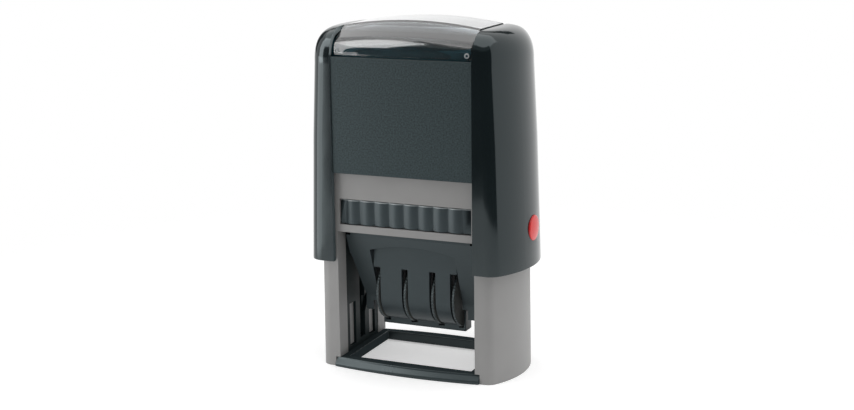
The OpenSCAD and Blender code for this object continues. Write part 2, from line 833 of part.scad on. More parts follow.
module carrier_hood() {
    outer_cheek = hood_w / 2 - hood_t;
    color([0.2, 0.23, 0.24]) difference() {
        union() {
            difference() {
                along_x(-hood_w / 2, hood_w / 2) hood_outline(0);
                along_x(-hood_w, hood_w) intersection() {
                    hood_outline(hood_t / cos(atan(hood_slope)));
                    translate([-hood_d, 0]) square([2 * hood_d, plate_low]);
                }
                rotate([90, 0, 0]) translate([0, 0, -hood_d]) linear_extrude(2 * hood_d) arch_outline();
                for (side = [-1, 1]) rotate([90, 0, 0]) translate([0, 0, -hood_d]) linear_extrude(2 * hood_d)
                    polygon([
                        [side * hood_w / 2, arch_z], [side * (hood_w / 2 - arm_in), hood_low - cut],
                        [side * hood_w, hood_low - cut], [side * hood_w, arch_z]
                    ]);
            }
            for (side = [-1, 1]) {
                along_x(side > 0 ? cheek_x : -cheek_x - hood_t, side > 0 ? cheek_x + hood_t : -cheek_x) {
                    hood_outline(0);
                    translate([0, wheel_z]) circle(cheek_boss_r);
                }
                along_x(side > 0 ? outer_cheek : -hood_w / 2, side > 0 ? hood_w / 2 : -outer_cheek) {
                    intersection() {
                        hood_outline(0);
                        translate([-hood_d, arch_z - plate_t]) square([2 * hood_d, hood_d]);
                    }
                    translate([-cheek_tab / 2, pivot_z - follower_arm - follower_r - clear])
                        square([cheek_tab, follower_arm + follower_r]);
                }
                for (y = [-1, 1]) arm_end(side, y);
                rod_x(
                    side > 0 ? hood_w / 2 - seat : -guide_x - groove_depth + clear,
                    side > 0 ? guide_x + groove_depth - clear : -hood_w / 2 + seat,
                    0, pivot_z - follower_arm, follower_r
                );
                block(
                    [-print_w / 2 + wide_clear, side > 0 ? hood_d / 2 - lip_t : -hood_d / 2, hood_top - seat],
                    [print_w / 2 - wide_clear, side > 0 ? hood_d / 2 : lip_t - hood_d / 2, hood_top + lip_h]
                );
            }
        }
        block(
            [-date_w / 2, -date_d / 2 - wide_clear, plate_low - cut],
            [date_w / 2, date_d / 2 + wide_clear, hood_top + cut]
        );
        rod_x(-hood_w, hood_w, 0, pivot_z, pivot_r + seat / 2);
        rod_x(-cheek_x - hood_t - cut, cheek_x + hood_t + cut, 0, wheel_z, axle_r + seat / 2);
    }
}

module pivot_pins() {
    pin_in = hood_w / 2 - hood_t;
    color("silver") for (side = [-1, 1])
        rod_x(side > 0 ? pin_in : -leg_x - leg_t, side > 0 ? leg_x + leg_t : -pin_in, 0, pivot_z, pivot_r);
}

module wheel_axle() {
    color("silver") rod_x(-cheek_x - hood_t, cheek_x + hood_t, 0, wheel_z, axle_r);
}

// Cover round the date wheels: straight walls and a round lower end, with a slot for each thumb disc
module drum_outline(r) {
    translate([0, wheel_z]) circle(r, $fn = 96);
    translate([-r, wheel_z]) square([2 * r, plate_low - wheel_z]);
}

module drum_cover() {
    slot_z = wheel_z + slot_rise;
    color([0.2, 0.23, 0.24]) {
        difference() {
            union() {
                along_x(-drum_a, drum_a) drum_outline(drum_r);
                block([-drum_a, -keel_d / 2, keel_top], [drum_a, keel_d / 2, wheel_z - drum_r + drum_t]);
            }
            along_x(-arch_w, arch_w) intersection() {
                drum_outline(drum_r - drum_t);
                translate([-drum_r, 0]) square([2 * drum_r, plate_low + cut]);
            }
            for (k = [0 : 3]) {
                low_x = k == 0 ? -arch_w : disc_x[k] - disc_slot_w / 2;
                high_x = k == 3 ? arch_w : disc_x[k] + disc_slot_w / 2;
                block([low_x, -drum_r - cut, keel_top], [high_x, drum_r + cut, slot_z]);
            }
        }
        block([-keel_a, -keel_d / 2, keel_low], [keel_a, keel_d / 2, keel_top]);
        for (side = [-1, 1]) block(
            [side > 0 ? lug_x : -keel_a, -keel_d / 2, keel_top - seat],
            [side > 0 ? keel_a : -lug_x, keel_d / 2, keel_top + lug_h]
        );
    }
}

// Bar over which the bands run at the print face
module band_bridge() {
    bar_z = plate_low - plate_t;
    bar_b = nose_b - clear;
    color("dimgray") {
        block([-cheek_x, -bar_b, bar_z], [cheek_x, bar_b, plate_low]);
        block(
            [-date_w / 2 + wide_clear, -bar_b, plate_low - seat],
            [date_w / 2 - wide_clear, bar_b, die_face - band_t - slide / 2]
        );
    }
}

module band_outline(grow) {
    top_r = nose_r - band_t + grow;
    hull() {
        translate([0, wheel_z]) circle(hub_r + slide + grow, $fn = 64);
        for (y = [-1, 1]) translate([y * (nose_b + band_t - nose_r), die_face - nose_r])
            circle(top_r, $fn = 32);
    }
}

module date_band(k) {
    near = disc_x[k] + hub_side[k] * (disc_t / 2 + slide);
    far = disc_x[k] + hub_side[k] * (disc_t / 2 + hub_w[k] - slide / 2);
    color([0.12, 0.12, 0.12]) along_x(min(near, far), max(near, far)) difference() {
        band_outline(band_t);
        band_outline(0);
    }
}

module date_band_1() {
    date_band(0);
}

module date_band_2() {
    date_band(1);
}

module date_band_3() {
    date_band(2);
}

module date_band_4() {
    date_band(3);
}

module disc_outline() {
    polygon([for (i = [0 : 2 * disc_notches - 1])
        let (r = disc_r - (i % 2) * notch, t = 180 * i / disc_notches)
        [r * cos(t), wheel_z + r * sin(t)]]);
}

module date_wheel(k) {
    hub_near = disc_x[k];
    hub_far = disc_x[k] + hub_side[k] * (disc_t / 2 + hub_w[k]);
    color([0.25, 0.28, 0.29]) difference() {
        union() {
            along_x(disc_x[k] - disc_t / 2, disc_x[k] + disc_t / 2) disc_outline();
            rod_x(min(hub_near, hub_far), max(hub_near, hub_far), 0, wheel_z, hub_r);
        }
        rod_x(-hood_w, hood_w, 0, wheel_z, axle_r + run);
    }
}

module date_wheel_1() {
    date_wheel(0);
}

module date_wheel_2() {
    date_wheel(1);
}

module date_wheel_3() {
    date_wheel(2);
}

module date_wheel_4() {
    date_wheel(3);
}

module die_mount() {
    color("gray") difference() {
        block([-die_w / 2, -die_d / 2, hood_top], [die_w / 2, die_d / 2, hood_top + mount_t]);
        block([-date_w / 2, -date_d / 2, hood_top - cut], [date_w / 2, date_d / 2, die_face]);
    }
}

// Rubber with a raised border and plain raised bars where lettering would be
module die_rubber() {
    sheet_top = die_face - relief;
    bar_d = 1.6;
    bar_end = 4;
    bar_y = [date_d / 2 + bar_d, die_d / 2 - 2 * bar_d];
    edge = 0.9;
    color("firebrick") {
        difference() {
            block([-die_w / 2, -die_d / 2, hood_top + mount_t], [die_w / 2, die_d / 2, sheet_top]);
            block([-date_w / 2, -date_d / 2, hood_top], [date_w / 2, date_d / 2, die_face]);
        }
        difference() {
            block([-die_w / 2, -die_d / 2, sheet_top - seat], [die_w / 2, die_d / 2, die_face]);
            block(
                [-die_w / 2 + edge, -die_d / 2 + edge, sheet_top - cut],
                [die_w / 2 - edge, die_d / 2 - edge, die_face + cut]
            );
        }
        for (side = [-1, 1]) for (y = bar_y)
            block(
                [-die_w / 2 + bar_end, side * y - bar_d / 2, sheet_top - seat],
                [die_w / 2 - bar_end, side * y + bar_d / 2, die_face]
            );
    }
}

// Ink pad

grip_steps = 8;
grip_end = 0.4;

// Scalloped front of the tray, in X and Y
module grip_outline() {
    root = tray_front - grip_depth;
    ends = grip_ribs * grip_pitch / 2 + grip_shift;
    polygon(concat(
        [[tray_a, -felt_d / 2 - tray_wall], [tray_a, -root - grip_depth * grip_end]],
        [[grip_ribs * grip_pitch - ends, -root]],
        [for (k = [grip_ribs - 1 : -1 : 0]) for (i = [1 : grip_steps])
            let (s = 1 - 2 * i / grip_steps)
            [grip_pitch * (k + 0.5 + s / 2) - ends, -root - grip_depth * (1 - s * s)]],
        [[-tray_a, -root - grip_depth * grip_end], [-tray_a, -felt_d / 2 - tray_wall]]
    ));
}

module pad_tray() {
    color([0.17, 0.2, 0.21]) difference() {
        union() {
            translate([0, 0, tray_low]) linear_extrude(tray_high - tray_low) grip_outline();
            block([-tray_a, -felt_d / 2 - tray_wall - seat, tray_low], [tray_a, tray_back, tray_high]);
        }
        block(
            [-felt_w / 2 - seat, -felt_d / 2 - seat, tray_low - cut],
            [felt_w / 2 + seat, felt_d / 2 + seat, felt_face + felt_t + seat]
        );
        block(
            [-felt_w / 2, -felt_d / 2, felt_face + felt_t + tray_wall],
            [felt_w / 2, felt_d / 2, tray_high + cut]
        );
    }
}

module ink_pad() {
    color("midnightblue")
        block([-felt_w / 2, -felt_d / 2, felt_face], [felt_w / 2, felt_d / 2, felt_face + felt_t]);
}

// Lock buttons

module lock_button(side) {
    color("tomato") {
        rod_x(
            side > 0 ? button_in : -wall_out - button_proud, side > 0 ? wall_out + button_proud : -button_in,
            0, button_z, button_dia / 2
        );
        rod_x(side > 0 ? button_in : -flange_out, side > 0 ? flange_out : -button_in, 0, button_z, flange_r);
    }
}

module lock_button_left() {
    lock_button(-1);
}

module lock_button_right() {
    lock_button(1);
}

base_shell();
foot_frame();
guide_left();
guide_right();
spring_deck();
return_spring();
cap_shell();
front_panel();
rear_panel();
cap_leg_left();
cap_leg_right();
index_card();
index_window();
carrier_hood();
drum_cover();
band_bridge();
pivot_pins();
wheel_axle();
die_mount();
die_rubber();
date_band_1();
date_band_2();
date_band_3();
date_band_4();
date_wheel_1();
date_wheel_2();
date_wheel_3();
date_wheel_4();
pad_tray();
ink_pad();
lock_button_left();
lock_button_right();
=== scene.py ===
"""Self-inking date stamp: modelled pieces, finishes and studio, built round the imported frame."""

import json
import math

import bmesh
import bpy
from bmesh.types import BMEdge, BMVert
from bpy.props import FloatProperty, FloatVectorProperty, IntProperty, PointerProperty
from bpy.types import Operator, Panel, PropertyGroup
from mathutils import Matrix, Vector


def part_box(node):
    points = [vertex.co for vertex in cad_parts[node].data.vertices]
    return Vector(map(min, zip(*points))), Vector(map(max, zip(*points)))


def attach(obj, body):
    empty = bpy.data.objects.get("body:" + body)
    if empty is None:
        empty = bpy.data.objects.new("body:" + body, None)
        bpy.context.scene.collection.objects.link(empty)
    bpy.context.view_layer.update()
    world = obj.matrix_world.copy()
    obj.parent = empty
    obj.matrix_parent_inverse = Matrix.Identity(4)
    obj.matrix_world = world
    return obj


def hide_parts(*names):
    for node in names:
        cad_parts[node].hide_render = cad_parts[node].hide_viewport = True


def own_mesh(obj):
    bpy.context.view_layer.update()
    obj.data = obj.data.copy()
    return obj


bl_info = {
    "name": "Self-inking date stamp",
    "version": (1, 0, 0),
    "blender": (4, 5, 0),
    "location": "3D View > Sidebar > Date Stamp",
    "description": "Models the pieces of a self-inking date stamp and gives them their finishes",
    "category": "Object",
}

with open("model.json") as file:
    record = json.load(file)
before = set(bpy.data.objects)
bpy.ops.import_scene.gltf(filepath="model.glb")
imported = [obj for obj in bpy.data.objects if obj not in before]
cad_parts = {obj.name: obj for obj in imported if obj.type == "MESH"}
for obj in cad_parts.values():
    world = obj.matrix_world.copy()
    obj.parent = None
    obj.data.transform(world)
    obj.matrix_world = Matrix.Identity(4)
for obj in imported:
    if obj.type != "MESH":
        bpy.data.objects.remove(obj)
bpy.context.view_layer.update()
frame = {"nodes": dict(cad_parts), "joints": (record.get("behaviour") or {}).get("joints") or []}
MM = 0.001
FAR = 1.0
# Tolerances in metres: for finding a place again, merging loose triangles, merging points after a bevel,
# cuts and collapsed edges
NEAR = 0.05 * MM
MERGE = 1e-6
CLOSE = 4e-7
TINY = 1e-7
SPECK = 1e-8
# Steps of a full turn
TURN = 64
# Angles in degrees: up to one faces are joined as flat, from the other an edge is shaded as sharp
FLAT = 0.5
SHARP = 38
# Numbers of the date wheels
WHEELS = (1, 2, 3, 4)


# Properties

def length(name, description, millimetres):
    """Property that holds a length, written in millimetres."""
    value = millimetres * MM
    return FloatProperty(name=name, description=description, default=value, unit="LENGTH", precision=5)


def colour(name, description, value):
    """Property that holds a linear colour."""
    return FloatVectorProperty(
        name=name, description=description, default=value, subtype="COLOR", min=0, max=1,
    )


def angle(name, description, degrees):
    """Property that holds an angle, written in degrees."""
    value = math.radians(degrees)
    return FloatProperty(name=name, description=description, default=value, subtype="ANGLE")


def brightness(name, description, value):
    """Property that holds the strength of a light, where 1 is white."""
    return FloatProperty(name=name, description=description, default=value, min=0)


def wattage(name, description, watts):
    """Property that holds a lamp's power."""
    return FloatProperty(name=name, description=description, default=watts, unit="POWER", min=0)


class StampSizes(PropertyGroup):
    """Sizes that the frame's boxes don't give."""

    cap_wall: length("Cap wall", "Thickness of the cap", 1.6)
    cap_side_r: length("Cap side radius", "Radius of the cap's sides in plan", 32)
    cap_corner_r: length("Cap corner radius", "Radius of the cap's corners in plan", 5)
    cap_taper: length("Cap taper", "Loss of half width up to the shoulder", 2.45)
    cap_swell: length("Cap swell", "How far the cap's sides swell in between", 0.25)
    cap_swell_h: length("Swell height", "Height of the swell above the lower edge", 39.8)
    cap_depth_taper: length("Cap depth taper", "Loss of half depth up to the shoulder", 0.3)
    shoulder_h: length("Shoulder height", "Height of the rounded shoulder", 11.1)
    shoulder_power: FloatProperty(
        name="Shoulder fullness", description="2 is round, more is squarer", default=2.5, min=2, max=4,
    )
    shoulder_in: length("Shoulder inset", "How far the shoulder draws in at the sides", 9.8)
    shoulder_in_d: length("Shoulder depth inset", "How far the shoulder draws in at front and rear", 9.4)
    roof_t: length("Roof", "Thickness of the roof under the card", 3.7)
    roof_half: length("Roof length", "Half length of the roof", 27)
    roof_in: length("Roof inset", "How far the roof's upright faces lie inside the clear window's box", 2.2)
    roof_rise: length("Roof rise", "Height of the roof's upright faces above the panels", 2.6)
    roof_crease: length("Roof crease", "Gap from the clear window's crease in to the roof's", 1.6)
    roof_ledge: length("Roof ledge", "How far the roof's flat top stops short of the window's", 0.8)
    skirt_t: length("Skirt", "Thickness of the roof's skirts", 1.9)
    skirt_lap: length("Skirt lap", "How far the roof's skirts reach down behind the panels", 1.6)
    joint_line: length("Joint line", "Gap between the cap's pillars and what lies between them", 0.14)
    cap_edge: length("Cap edge", "Widest rounding of the cap's edges between its pillars", 0.6)
    button_edge: length("Button edge", "Widest rounding of the cap's other edges", 0.15)

    base_side_r: length("Base side radius", "Radius of the base's sides in plan", 30)
    base_corner_r: length("Base corner radius", "Radius of the base's corners in plan", 3.5)
    base_wall: length("Base wall", "Thickness of the base", 2)
    base_draft: length("Base draft", "Loss of half width up to the resting cap", 0.35)
    base_taper: length("Base taper", "Loss of half width up to the top edge", 1.6)
    base_depth_taper: length("Base depth taper", "Loss of half depth up to the top edge", 0.3)
    base_edge: length("Base edge", "Widest rounding of the base's edges", 0.45)
    window_w: length("Window width", "Clear width of the base's windows", 46.4)
    crossbar_h: length("Crossbar", "Height of the bar under the pad slot", 2.35)
    pillar_d: length("Pillar depth", "Depth of the faces beside the windows", 5.6)
    guide_gap: length("Guide gap", "Gap from a window's side to the guide wall", 0.2)
    pad_w: length("Pad width", "Width of the pads behind the guide walls' small openings", 4)
    pad_h: length("Pad height", "Height of the rear pads", 8.4)
    pad_front_h: length("Front pad height", "Height of the front pads", 14)
    pad_y: length("Pad place", "Distance of the pads from the middle", 7)
    pad_low: length("Pad foot", "Height of the pads' lower edge", 4.4)
    pad_recess: length("Pad recess", "Depth of the pads behind the guide wall's face", 0.8)
    slot_gap: length("Slot gap", "Gap round the ink cartridge", 0.2)
    foot_gap: length("Foot gap", "Gap round the foot", 0.05)
    pocket_gap: length("Pocket gap", "Room round a pressed button in the base", 0.4)

    glass_t: length("Window wall", "Thickness of the clear window", 1.2)
    glass_arch: length("Window arch", "Rise of the clear window at its middle", 1.95)
    glass_top_d: length("Window top", "Depth of the clear window's flat top", 18.4)
    crease_drop: length("Crease drop", "Height of the window's top above its crease", 4.5)
    crease_out: length("Crease reach", "Distance from the flat top out to the crease", 6.9)
    belly: length("Belly", "How far the lower front of the window swells", 0.25)
    belly_drop: length("Belly drop", "Height of the window's top above the fullest part of its belly", 7.6)
    glass_bow: length("Window bow", "How far the window's front bows out between its ends", 0.8)
    bend_r: length("Window bends", "Rounding of the clear window's bends", 0.35)
    glass_edge: length("Window edge", "Widest rounding of the clear window's edges", 0.25)
    arch_fade: length("Arch fade", "Height below the crease over which the arch fades out", 3)
    foot_in: length("Window foot", "How far the window's lower edge lies behind the panel's face", 0.4)
    glass_gap: length("Window gap", "How far the window's ends stop short of their box", 0.3)
    clip_r: length("Clip", "Radius of the clip rings", 0.6)
    clip_t: length("Clip rim", "Thickness of the clip rings", 0.5)

    card_corner: length("Card corner", "Rounding of the card's corners", 1.2)
    panel_edge: length("Panel edge", "Rounding of the panels' edges", 0.2)
    inner_edge: length("Inner edge", "Widest rounding of the inner pieces' edges", 0.18)
    button_dome: length("Button dome", "Rise of the button's face", 0.35)
    flange: length("Flange", "How far a button's flange reaches past its face", 0.8)
    flange_t: length("Flange thickness", "Thickness of a button's flange", 0.5)
    button_rim: length("Button rim", "Rounding of a button's rim", 0.35)
    run: length("Running gap", "Gap round a button and round the axle", 0.05)
    # The slope along the ribs' tops is a chamfer, which carries a painted highlight
    rib_chamfer: length("Rib wear", "Height of the worn slope along the top of the grip's ribs", 0.4)
    rib_reach: length("Rib reach", "Depth of the grip's ribs, with a little to spare", 1.2)
    wire_dia: length("Wire", "Diameter of the spring's wire", 1.1)
    coils: IntProperty(name="Coils", description="Number of the spring's coils", default=8, min=3)
    notches: IntProperty(name="Notches", description="Notches round a thumb disc", default=56, min=12)
    notch: length("Notch", "Depth of a thumb disc's notches", 0.2)
    disc_t: length("Disc", "Thickness of a thumb disc", 0.8)
    hub_r: length("Hub", "Radius of a date wheel's hub", 6.6)
    axle_r: length("Axle", "Radius of the wheels' axle", 1.2)
    felt_crown: length("Felt crown", "How far the felt's lower edges draw up", 0.35)
    felt_waist: length("Felt waist", "How far the felt's ends draw in", 0.15)


class StampColours(PropertyGroup):
    """Colours of the finishes."""

    cap: colour("Cap", "Polished cap", (0.005, 0.008, 0.009))
    panel: colour("Panels", "Grained panels", (0.026, 0.038, 0.041))
    base: colour("Base", "Satin base", (0.235, 0.233, 0.23))
    inner: colour("Inner walls", "Plain inner walls", (0.011, 0.017, 0.018))
    # Painted shade: a matte copy of the foot's plastic, without reflections, on its faces along X and its
    # flat tops, so they render darker
    foot_dull: colour("Foot's inside", "Dull faces of the foot", (0.035, 0.046, 0.05))
    foot: colour("Foot", "Polished foot", (0.02, 0.027, 0.029))
    unit: colour("Date unit", "Satin date unit", (0.016, 0.023, 0.026))
    wheel: colour("Date wheels", "Thumb discs and hubs", (0.034, 0.042, 0.044))
    # Painted highlight: a light colour on the slope along the tops of the grip's ribs
    worn: colour("Worn edges", "Tops of the grip's ribs", (0.26, 0.29, 0.3))
    grip: colour("Grip", "Ink cartridge and its grip", (0.02, 0.028, 0.032))
    card: colour("Card", "Index card", (0.8, 0.81, 0.82))
    rubber: colour("Die", "Rubber of the die", (0.33, 0.07, 0.055))
    band: colour("Bands", "Rubber of the date bands", (0.04, 0.041, 0.043))
    felt: colour("Felt", "Inked felt", (0.012, 0.016, 0.05))
    steel: colour("Steel", "Spring, pins and axle", (0.56, 0.57, 0.58))
    mount: colour("Die plate", "Plate under the rubber", (0.3, 0.3, 0.31))
    button: colour("Buttons", "Lock buttons", (0.62, 0.03, 0.03))
    clear: colour("Window", "Tint of the clear window", (0.96, 0.98, 0.985))
    # Painted shade: the clear window's tint darkens from the top's edge down over the slope and the belly
    slope_shade: colour("Smoke", "Tint of the clear window's slopes", (0.3, 0.33, 0.35))
    lining: colour("Lining", "Roof under the clear window", (0.006, 0.038, 0.052))
    # Painted light: lighter colours on the inward faces of the cap's pillars, beside the panels and beside
    # the clear window, which lift these narrow gaps out of their shade
    flank: colour("Flanks", "Inner flanks of the cap's pillars", (0.06, 0.078, 0.083))
    seat: colour("Seat", "Flanks beside the clear window", (0.28, 0.32, 0.33))
    # Painted shade: an opaque dark colour on the clear window's ends, which draws a dark line where they meet
    # the cap
    rim: colour("Rim", "Ends of the clear window", (0.03, 0.036, 0.038))
    clip: colour("Clips", "Clips of the clear window", (0.3, 0.32, 0.33))
    # Painted light: a lighter, matte colour on the wheels' faces that point along X, which lifts them out of
    # the slots' shade
    shade: colour("Shade", "Dull sides of the wheels", (0.11, 0.115, 0.11))


class StampStudio(PropertyGroup):
    """Camera, floor, lamps and flags."""

    azimuth: angle("Azimuth", "Camera's turn from the front towards the right", 23.908)
    elevation: angle("Elevation", "Camera's height above the horizon", 12.604)
    roll: angle("Roll", "Camera's tilt", -0.737)
    distance: length("Distance", "Camera's distance from its target", 481.668)
    target_side: length("Target side", "Target's offset to the camera's right", 0.307)
    target_height: length("Target height", "Target's height", 51.282)
    lens: FloatProperty(
        name="Lens", description="Focal length on a 36 mm sensor", default=63.871, unit="CAMERA",
    )
    key: wattage("Key", "Power of the softbox overhead", 6.0)
    left: wattage("Left", "Power of the softbox at the left", 0.56)
    strip: wattage("Strip", "Power of the low strip at the left", 0.085)
    right: wattage("Right", "Power of the softbox at the right", 0.17)
    ambient: brightness("Ambient", "Light of the white surroundings on the object", 0.45)
    floor_r: length("Floor", "Radius of the pale floor", 240)
    glow: brightness("Glow", "Light of the floor itself", 0.33)
    flag_reach: length("Flag's distance", "Distance of the flag in front from the middle", 290)
    skirt_h: length("Skirt", "Height of the flag's narrower skirt", 70)
    flag_h: length("Flag", "Height of the dark flag in front", 300)
    wall_h: length("Wall", "Height of the dim wall above the flag", 450)
    dark: brightness("Dark", "Light of the dark flags", 0.08)
    dim: brightness("Dim", "Light of the dim wall in front", 0.3)


# Mesh tools

def picked(made, kind):
    """The vertices or the edges among what a mesh tool made."""
    return [part for part in made["geom"] if isinstance(part, kind)]


def once(parts):
    """Each of some parts once, in their order."""
    return list(dict.fromkeys(parts))


def circle(bm, segments, radius, place):
    """Circle of edges. Returns its vertices and its edges."""
    verts = bmesh.ops.create_circle(bm, segments=segments, radius=radius, matrix=place)["verts"]
    return verts, once(e for v in verts for e in v.link_edges)


def spun(bm, vert, centre, turn, steps):
    """Arc from a vertex about a vertical axis. Returns the arc's far vertex."""
    made = bmesh.ops.spin(bm, geom=[vert], cent=centre, axis=(0, 0, 1), angle=turn, steps=steps)
    return made["geom_last"][0]


def plan_ring(bm, half_w, half_d, side_r, corner_r, height, side_steps=20, corner_steps=10):
    """Closed outline of two curved sides with rounded corners. Returns its edges."""
    before = set(bm.edges)
    side_x = half_w - side_r
    corner_y = half_d - corner_r
    corner_x = side_x + math.sqrt((side_r - corner_r) ** 2 - corner_y ** 2)
    turn = math.atan2(corner_y, corner_x - side_x)
    start = bm.verts.new((half_w, 0, height))
    shoulder = spun(bm, start, (side_x, 0, height), turn, side_steps)
    end = spun(bm, shoulder, (corner_x, corner_y, height), math.pi / 2 - turn, corner_steps)
    middle = bm.verts.new((0, half_d, height))
    bm.edges.new((end, middle))
    for axis in "XY":
        edges = [e for e in bm.edges if e not in before]
        verts = once(v for e in edges for v in e.verts)
        bmesh.ops.mirror(bm, geom=verts + edges, matrix=Matrix.Identity(4), merge_dist=MERGE, axis=axis)
    return [e for e in bm.edges if e not in before]


def skin(bm, rings):
    """Joins a stack of outlines into one skin."""
    for lower, upper in zip(rings, rings[1:]):
        bmesh.ops.bridge_loops(bm, edges=lower + upper)


def cut_open(bm, low, high):
    """Cuts the skin along the sides of a box and takes out the faces inside it."""
    for axis in range(3):
        for value in (low[axis], high[axis]):
            normal = Vector((0, 0, 0))
            normal[axis] = 1
            everything = bm.verts[:] + bm.edges[:] + bm.faces[:]
            bmesh.ops.bisect_plane(bm, geom=everything, dist=TINY, plane_co=normal * value, plane_no=normal)
    inside = []
    for face in bm.faces:
        centre = face.calc_center_median()
        if all(low[i] < centre[i] < high[i] for i in range(3)):
            inside.append(face)
    bmesh.ops.delete(bm, geom=inside, context="FACES")


def outward(bm, faces=None):
    """Turns the faces to point outwards."""
    bmesh.ops.recalc_face_normals(bm, faces=faces or bm.faces[:])


def soften(bm, width, segments=3, limit=30, edges=None):
    """Rounds every edge, or every one of some edges, that is sharper than a limit in degrees.

    Short edges among them hold the width back for all of them, so that no roundings overlap.
    """
    sharp = [e for e in edges or bm.edges if e.is_manifold and e.calc_face_angle() > math.radians(limit)]
    bmesh.ops.bevel(
        bm, geom=sharp, offset=width, offset_type="OFFSET", segments=segments, profile=0.5,
        affect="EDGES", clamp_overlap=True, material=-1,
    )


def box_mesh(bm, low, high):
    """Box between two corners. Returns its faces."""
    middle = (Vector(low) + Vector(high)) / 2
    size = Vector(high) - Vector(low)
    place = Matrix.Translation(middle) @ Matrix.Diagonal((*size, 1))
    made = bmesh.ops.create_cube(bm, size=1, matrix=place)
    return once(f for v in made["verts"] for f in v.link_faces)


def along_x(start):
    """Matrix that turns a shape's Z to point along X, at a place."""
    return Matrix.Translation(start) @ Matrix.Rotation(math.pi / 2, 4, "Y")


def sag(across, radius):
    """How far an arc falls back at a distance from its middle."""
    return radius - math.sqrt(radius ** 2 - across ** 2)


# Margin of the square patch round an opening
PATCH = 2 * MM


def round_cut(bm, side, radius, height, surface):
    """Cuts a round opening in a side's skin, set in a square patch. Returns the edges of its rim."""
    patch = radius + PATCH
    rims = {e for e in bm.edges if e.is_boundary}
    ends = (0, FAR) if side > 0 else (-FAR, 0)
    cut_open(bm, (ends[0], -patch, height - patch), (ends[1], patch, height + patch))
    reach = patch + NEAR
    square = [
        e for e in bm.edges
        if e.is_boundary and e not in rims and all(
            v.co.x * side > 0 and abs(v.co.y) < reach and abs(v.co.z - height) < reach for v in e.verts
        )
    ]
    hole, rim = circle(bm, TURN, radius, along_x((0, 0, height)))
    for v in hole:
        v.co.x = side * surface(v.co.y, v.co.z)
    bmesh.ops.bridge_loops(bm, edges=square + rim)
    return rim


def prism_x(bm, points, x0, x1):
    """Flat shape in Y and Z, drawn out along X. Returns its faces."""
    face = bm.faces.new([bm.verts.new((x0, y, z)) for y, z in points])
    made = bmesh.ops.extrude_face_region(bm, geom=[face])
    top = picked(made, BMVert)
    bmesh.ops.translate(bm, verts=top, vec=(x1 - x0, 0, 0))
    faces = once([face, *(f for v in top for f in v.link_faces)])
    outward(bm, faces)
    return faces


def turned_x(bm, profile, centre):
    """Full turn of a profile of (along X, radius) points about an axis along X."""
    verts = [bm.verts.new(Vector(centre) + Vector((x, 0, r))) for x, r in profile]
    edges = [bm.edges.new(pair) for pair in zip(verts, verts[1:])]
    bmesh.ops.spin(
        bm, geom=verts + edges, cent=centre, axis=(1, 0, 0), angle=2 * math.pi, steps=TURN, use_merge=True,
    )
    bmesh.ops.remove_doubles(bm, verts=bm.verts[:], dist=TINY)


def copy_of(node):
    """Mesh of a frame's node, with its loose triangles merged and its flat faces joined."""
    bm = bmesh.new()
    bm.from_mesh(frame["nodes"][node].data)
    bmesh.ops.remove_doubles(bm, verts=bm.verts[:], dist=MERGE)
    bmesh.ops.dissolve_limit(bm, angle_limit=math.radians(FLAT), verts=bm.verts[:], edges=bm.edges[:])
    return bm


def placed(name, bm, materials):
    """Object made of a mesh, with its materials."""
    mesh = bpy.data.meshes.new(name)
    bm.to_mesh(mesh)
    bm.free()
    for material in materials:
        mesh.materials.append(material)
    made = bpy.data.objects.new(name, mesh)
    bpy.context.scene.collection.objects.link(made)
    return made


def finish_piece(name, bm, looks, body, nodes):
    """Piece with its finishes, in place of the frame's nodes and moving with their body."""
    bmesh.ops.dissolve_degenerate(bm, dist=SPECK, edges=bm.edges[:])
    piece = placed(name, bm, [finish(look) for look in looks])
    piece.data.shade_smooth()
    piece.data.set_sharp_from_angle(angle=math.radians(SHARP))
    weighted = piece.modifiers.new("Even shading", "WEIGHTED_NORMAL")
    weighted.keep_sharp = True
    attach(piece, body)
    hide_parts(*nodes)
    return piece


# Parts of a normal from which a face counts as an end and as a top, for the second finish that paints light
# and shade by which way a face points
END = 0.9
TOP = 0.95


def paint_end_shading(piece, tops=False):
    """Gives a piece's second finish to its faces that point along X, and to its flat tops if asked: painted
    shade on the window's ends and the foot's, painted light on the wheels' sides.
    """
    for face in piece.data.polygons:
        if face.material_index == 0 and (abs(face.normal.x) > END or tops and face.normal.z > TOP):
            face.material_index = 1


def button_circle():
    """Height of the lock buttons' middle and radius of their flanges."""
    low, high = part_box("lock_button_right")
    return (low.z + high.z) / 2, (high.z - low.z) / 2


def travel(joint):
    """Length of a sliding joint's travel."""
    least, most = next(j for j in frame["joints"] if j["name"] == joint)["range_m"]
    return most - least


# Finishes

def new_finish(name):
    """Material with a principled shader and the piece's own coordinates."""
    material = bpy.data.materials.new(name)
    material.use_nodes = True
    tree = material.node_tree
    place = tree.nodes.new("ShaderNodeTexCoord")
    return material, tree, tree.nodes["Principled BSDF"], place.outputs["Object"]


def noise(tree, place, size, detail=3.0, stretch=(1, 1, 1)):
    """Noise whose lumps have about a given size in metres, stretched along the axes."""
    mapping = tree.nodes.new("ShaderNodeMapping")
    mapping.inputs["Scale"].default_value = stretch
    tree.links.new(place, mapping.inputs["Vector"])
    texture = tree.nodes.new("ShaderNodeTexNoise")
    texture.inputs["Scale"].default_value = 1 / size
    texture.inputs["Detail"].default_value = detail
    tree.links.new(mapping.outputs["Vector"], texture.inputs["Vector"])
    return texture.outputs["Fac"]


def mapped(tree, value, source=(0, 1), target=(0, 1), interpolation="LINEAR"):
    """Maps one range of values to another."""
    node = tree.nodes.new("ShaderNodeMapRange")
    node.interpolation_type = interpolation
    for name, bound in zip(("From Min", "From Max", "To Min", "To Max"), (*source, *target)):
        node.inputs[name].default_value = bound
    tree.links.new(value, node.inputs["Value"])
    return node.outputs["Result"]


# Range that holds most of a noise pattern's values
MIDDLE = (0.3, 0.7)


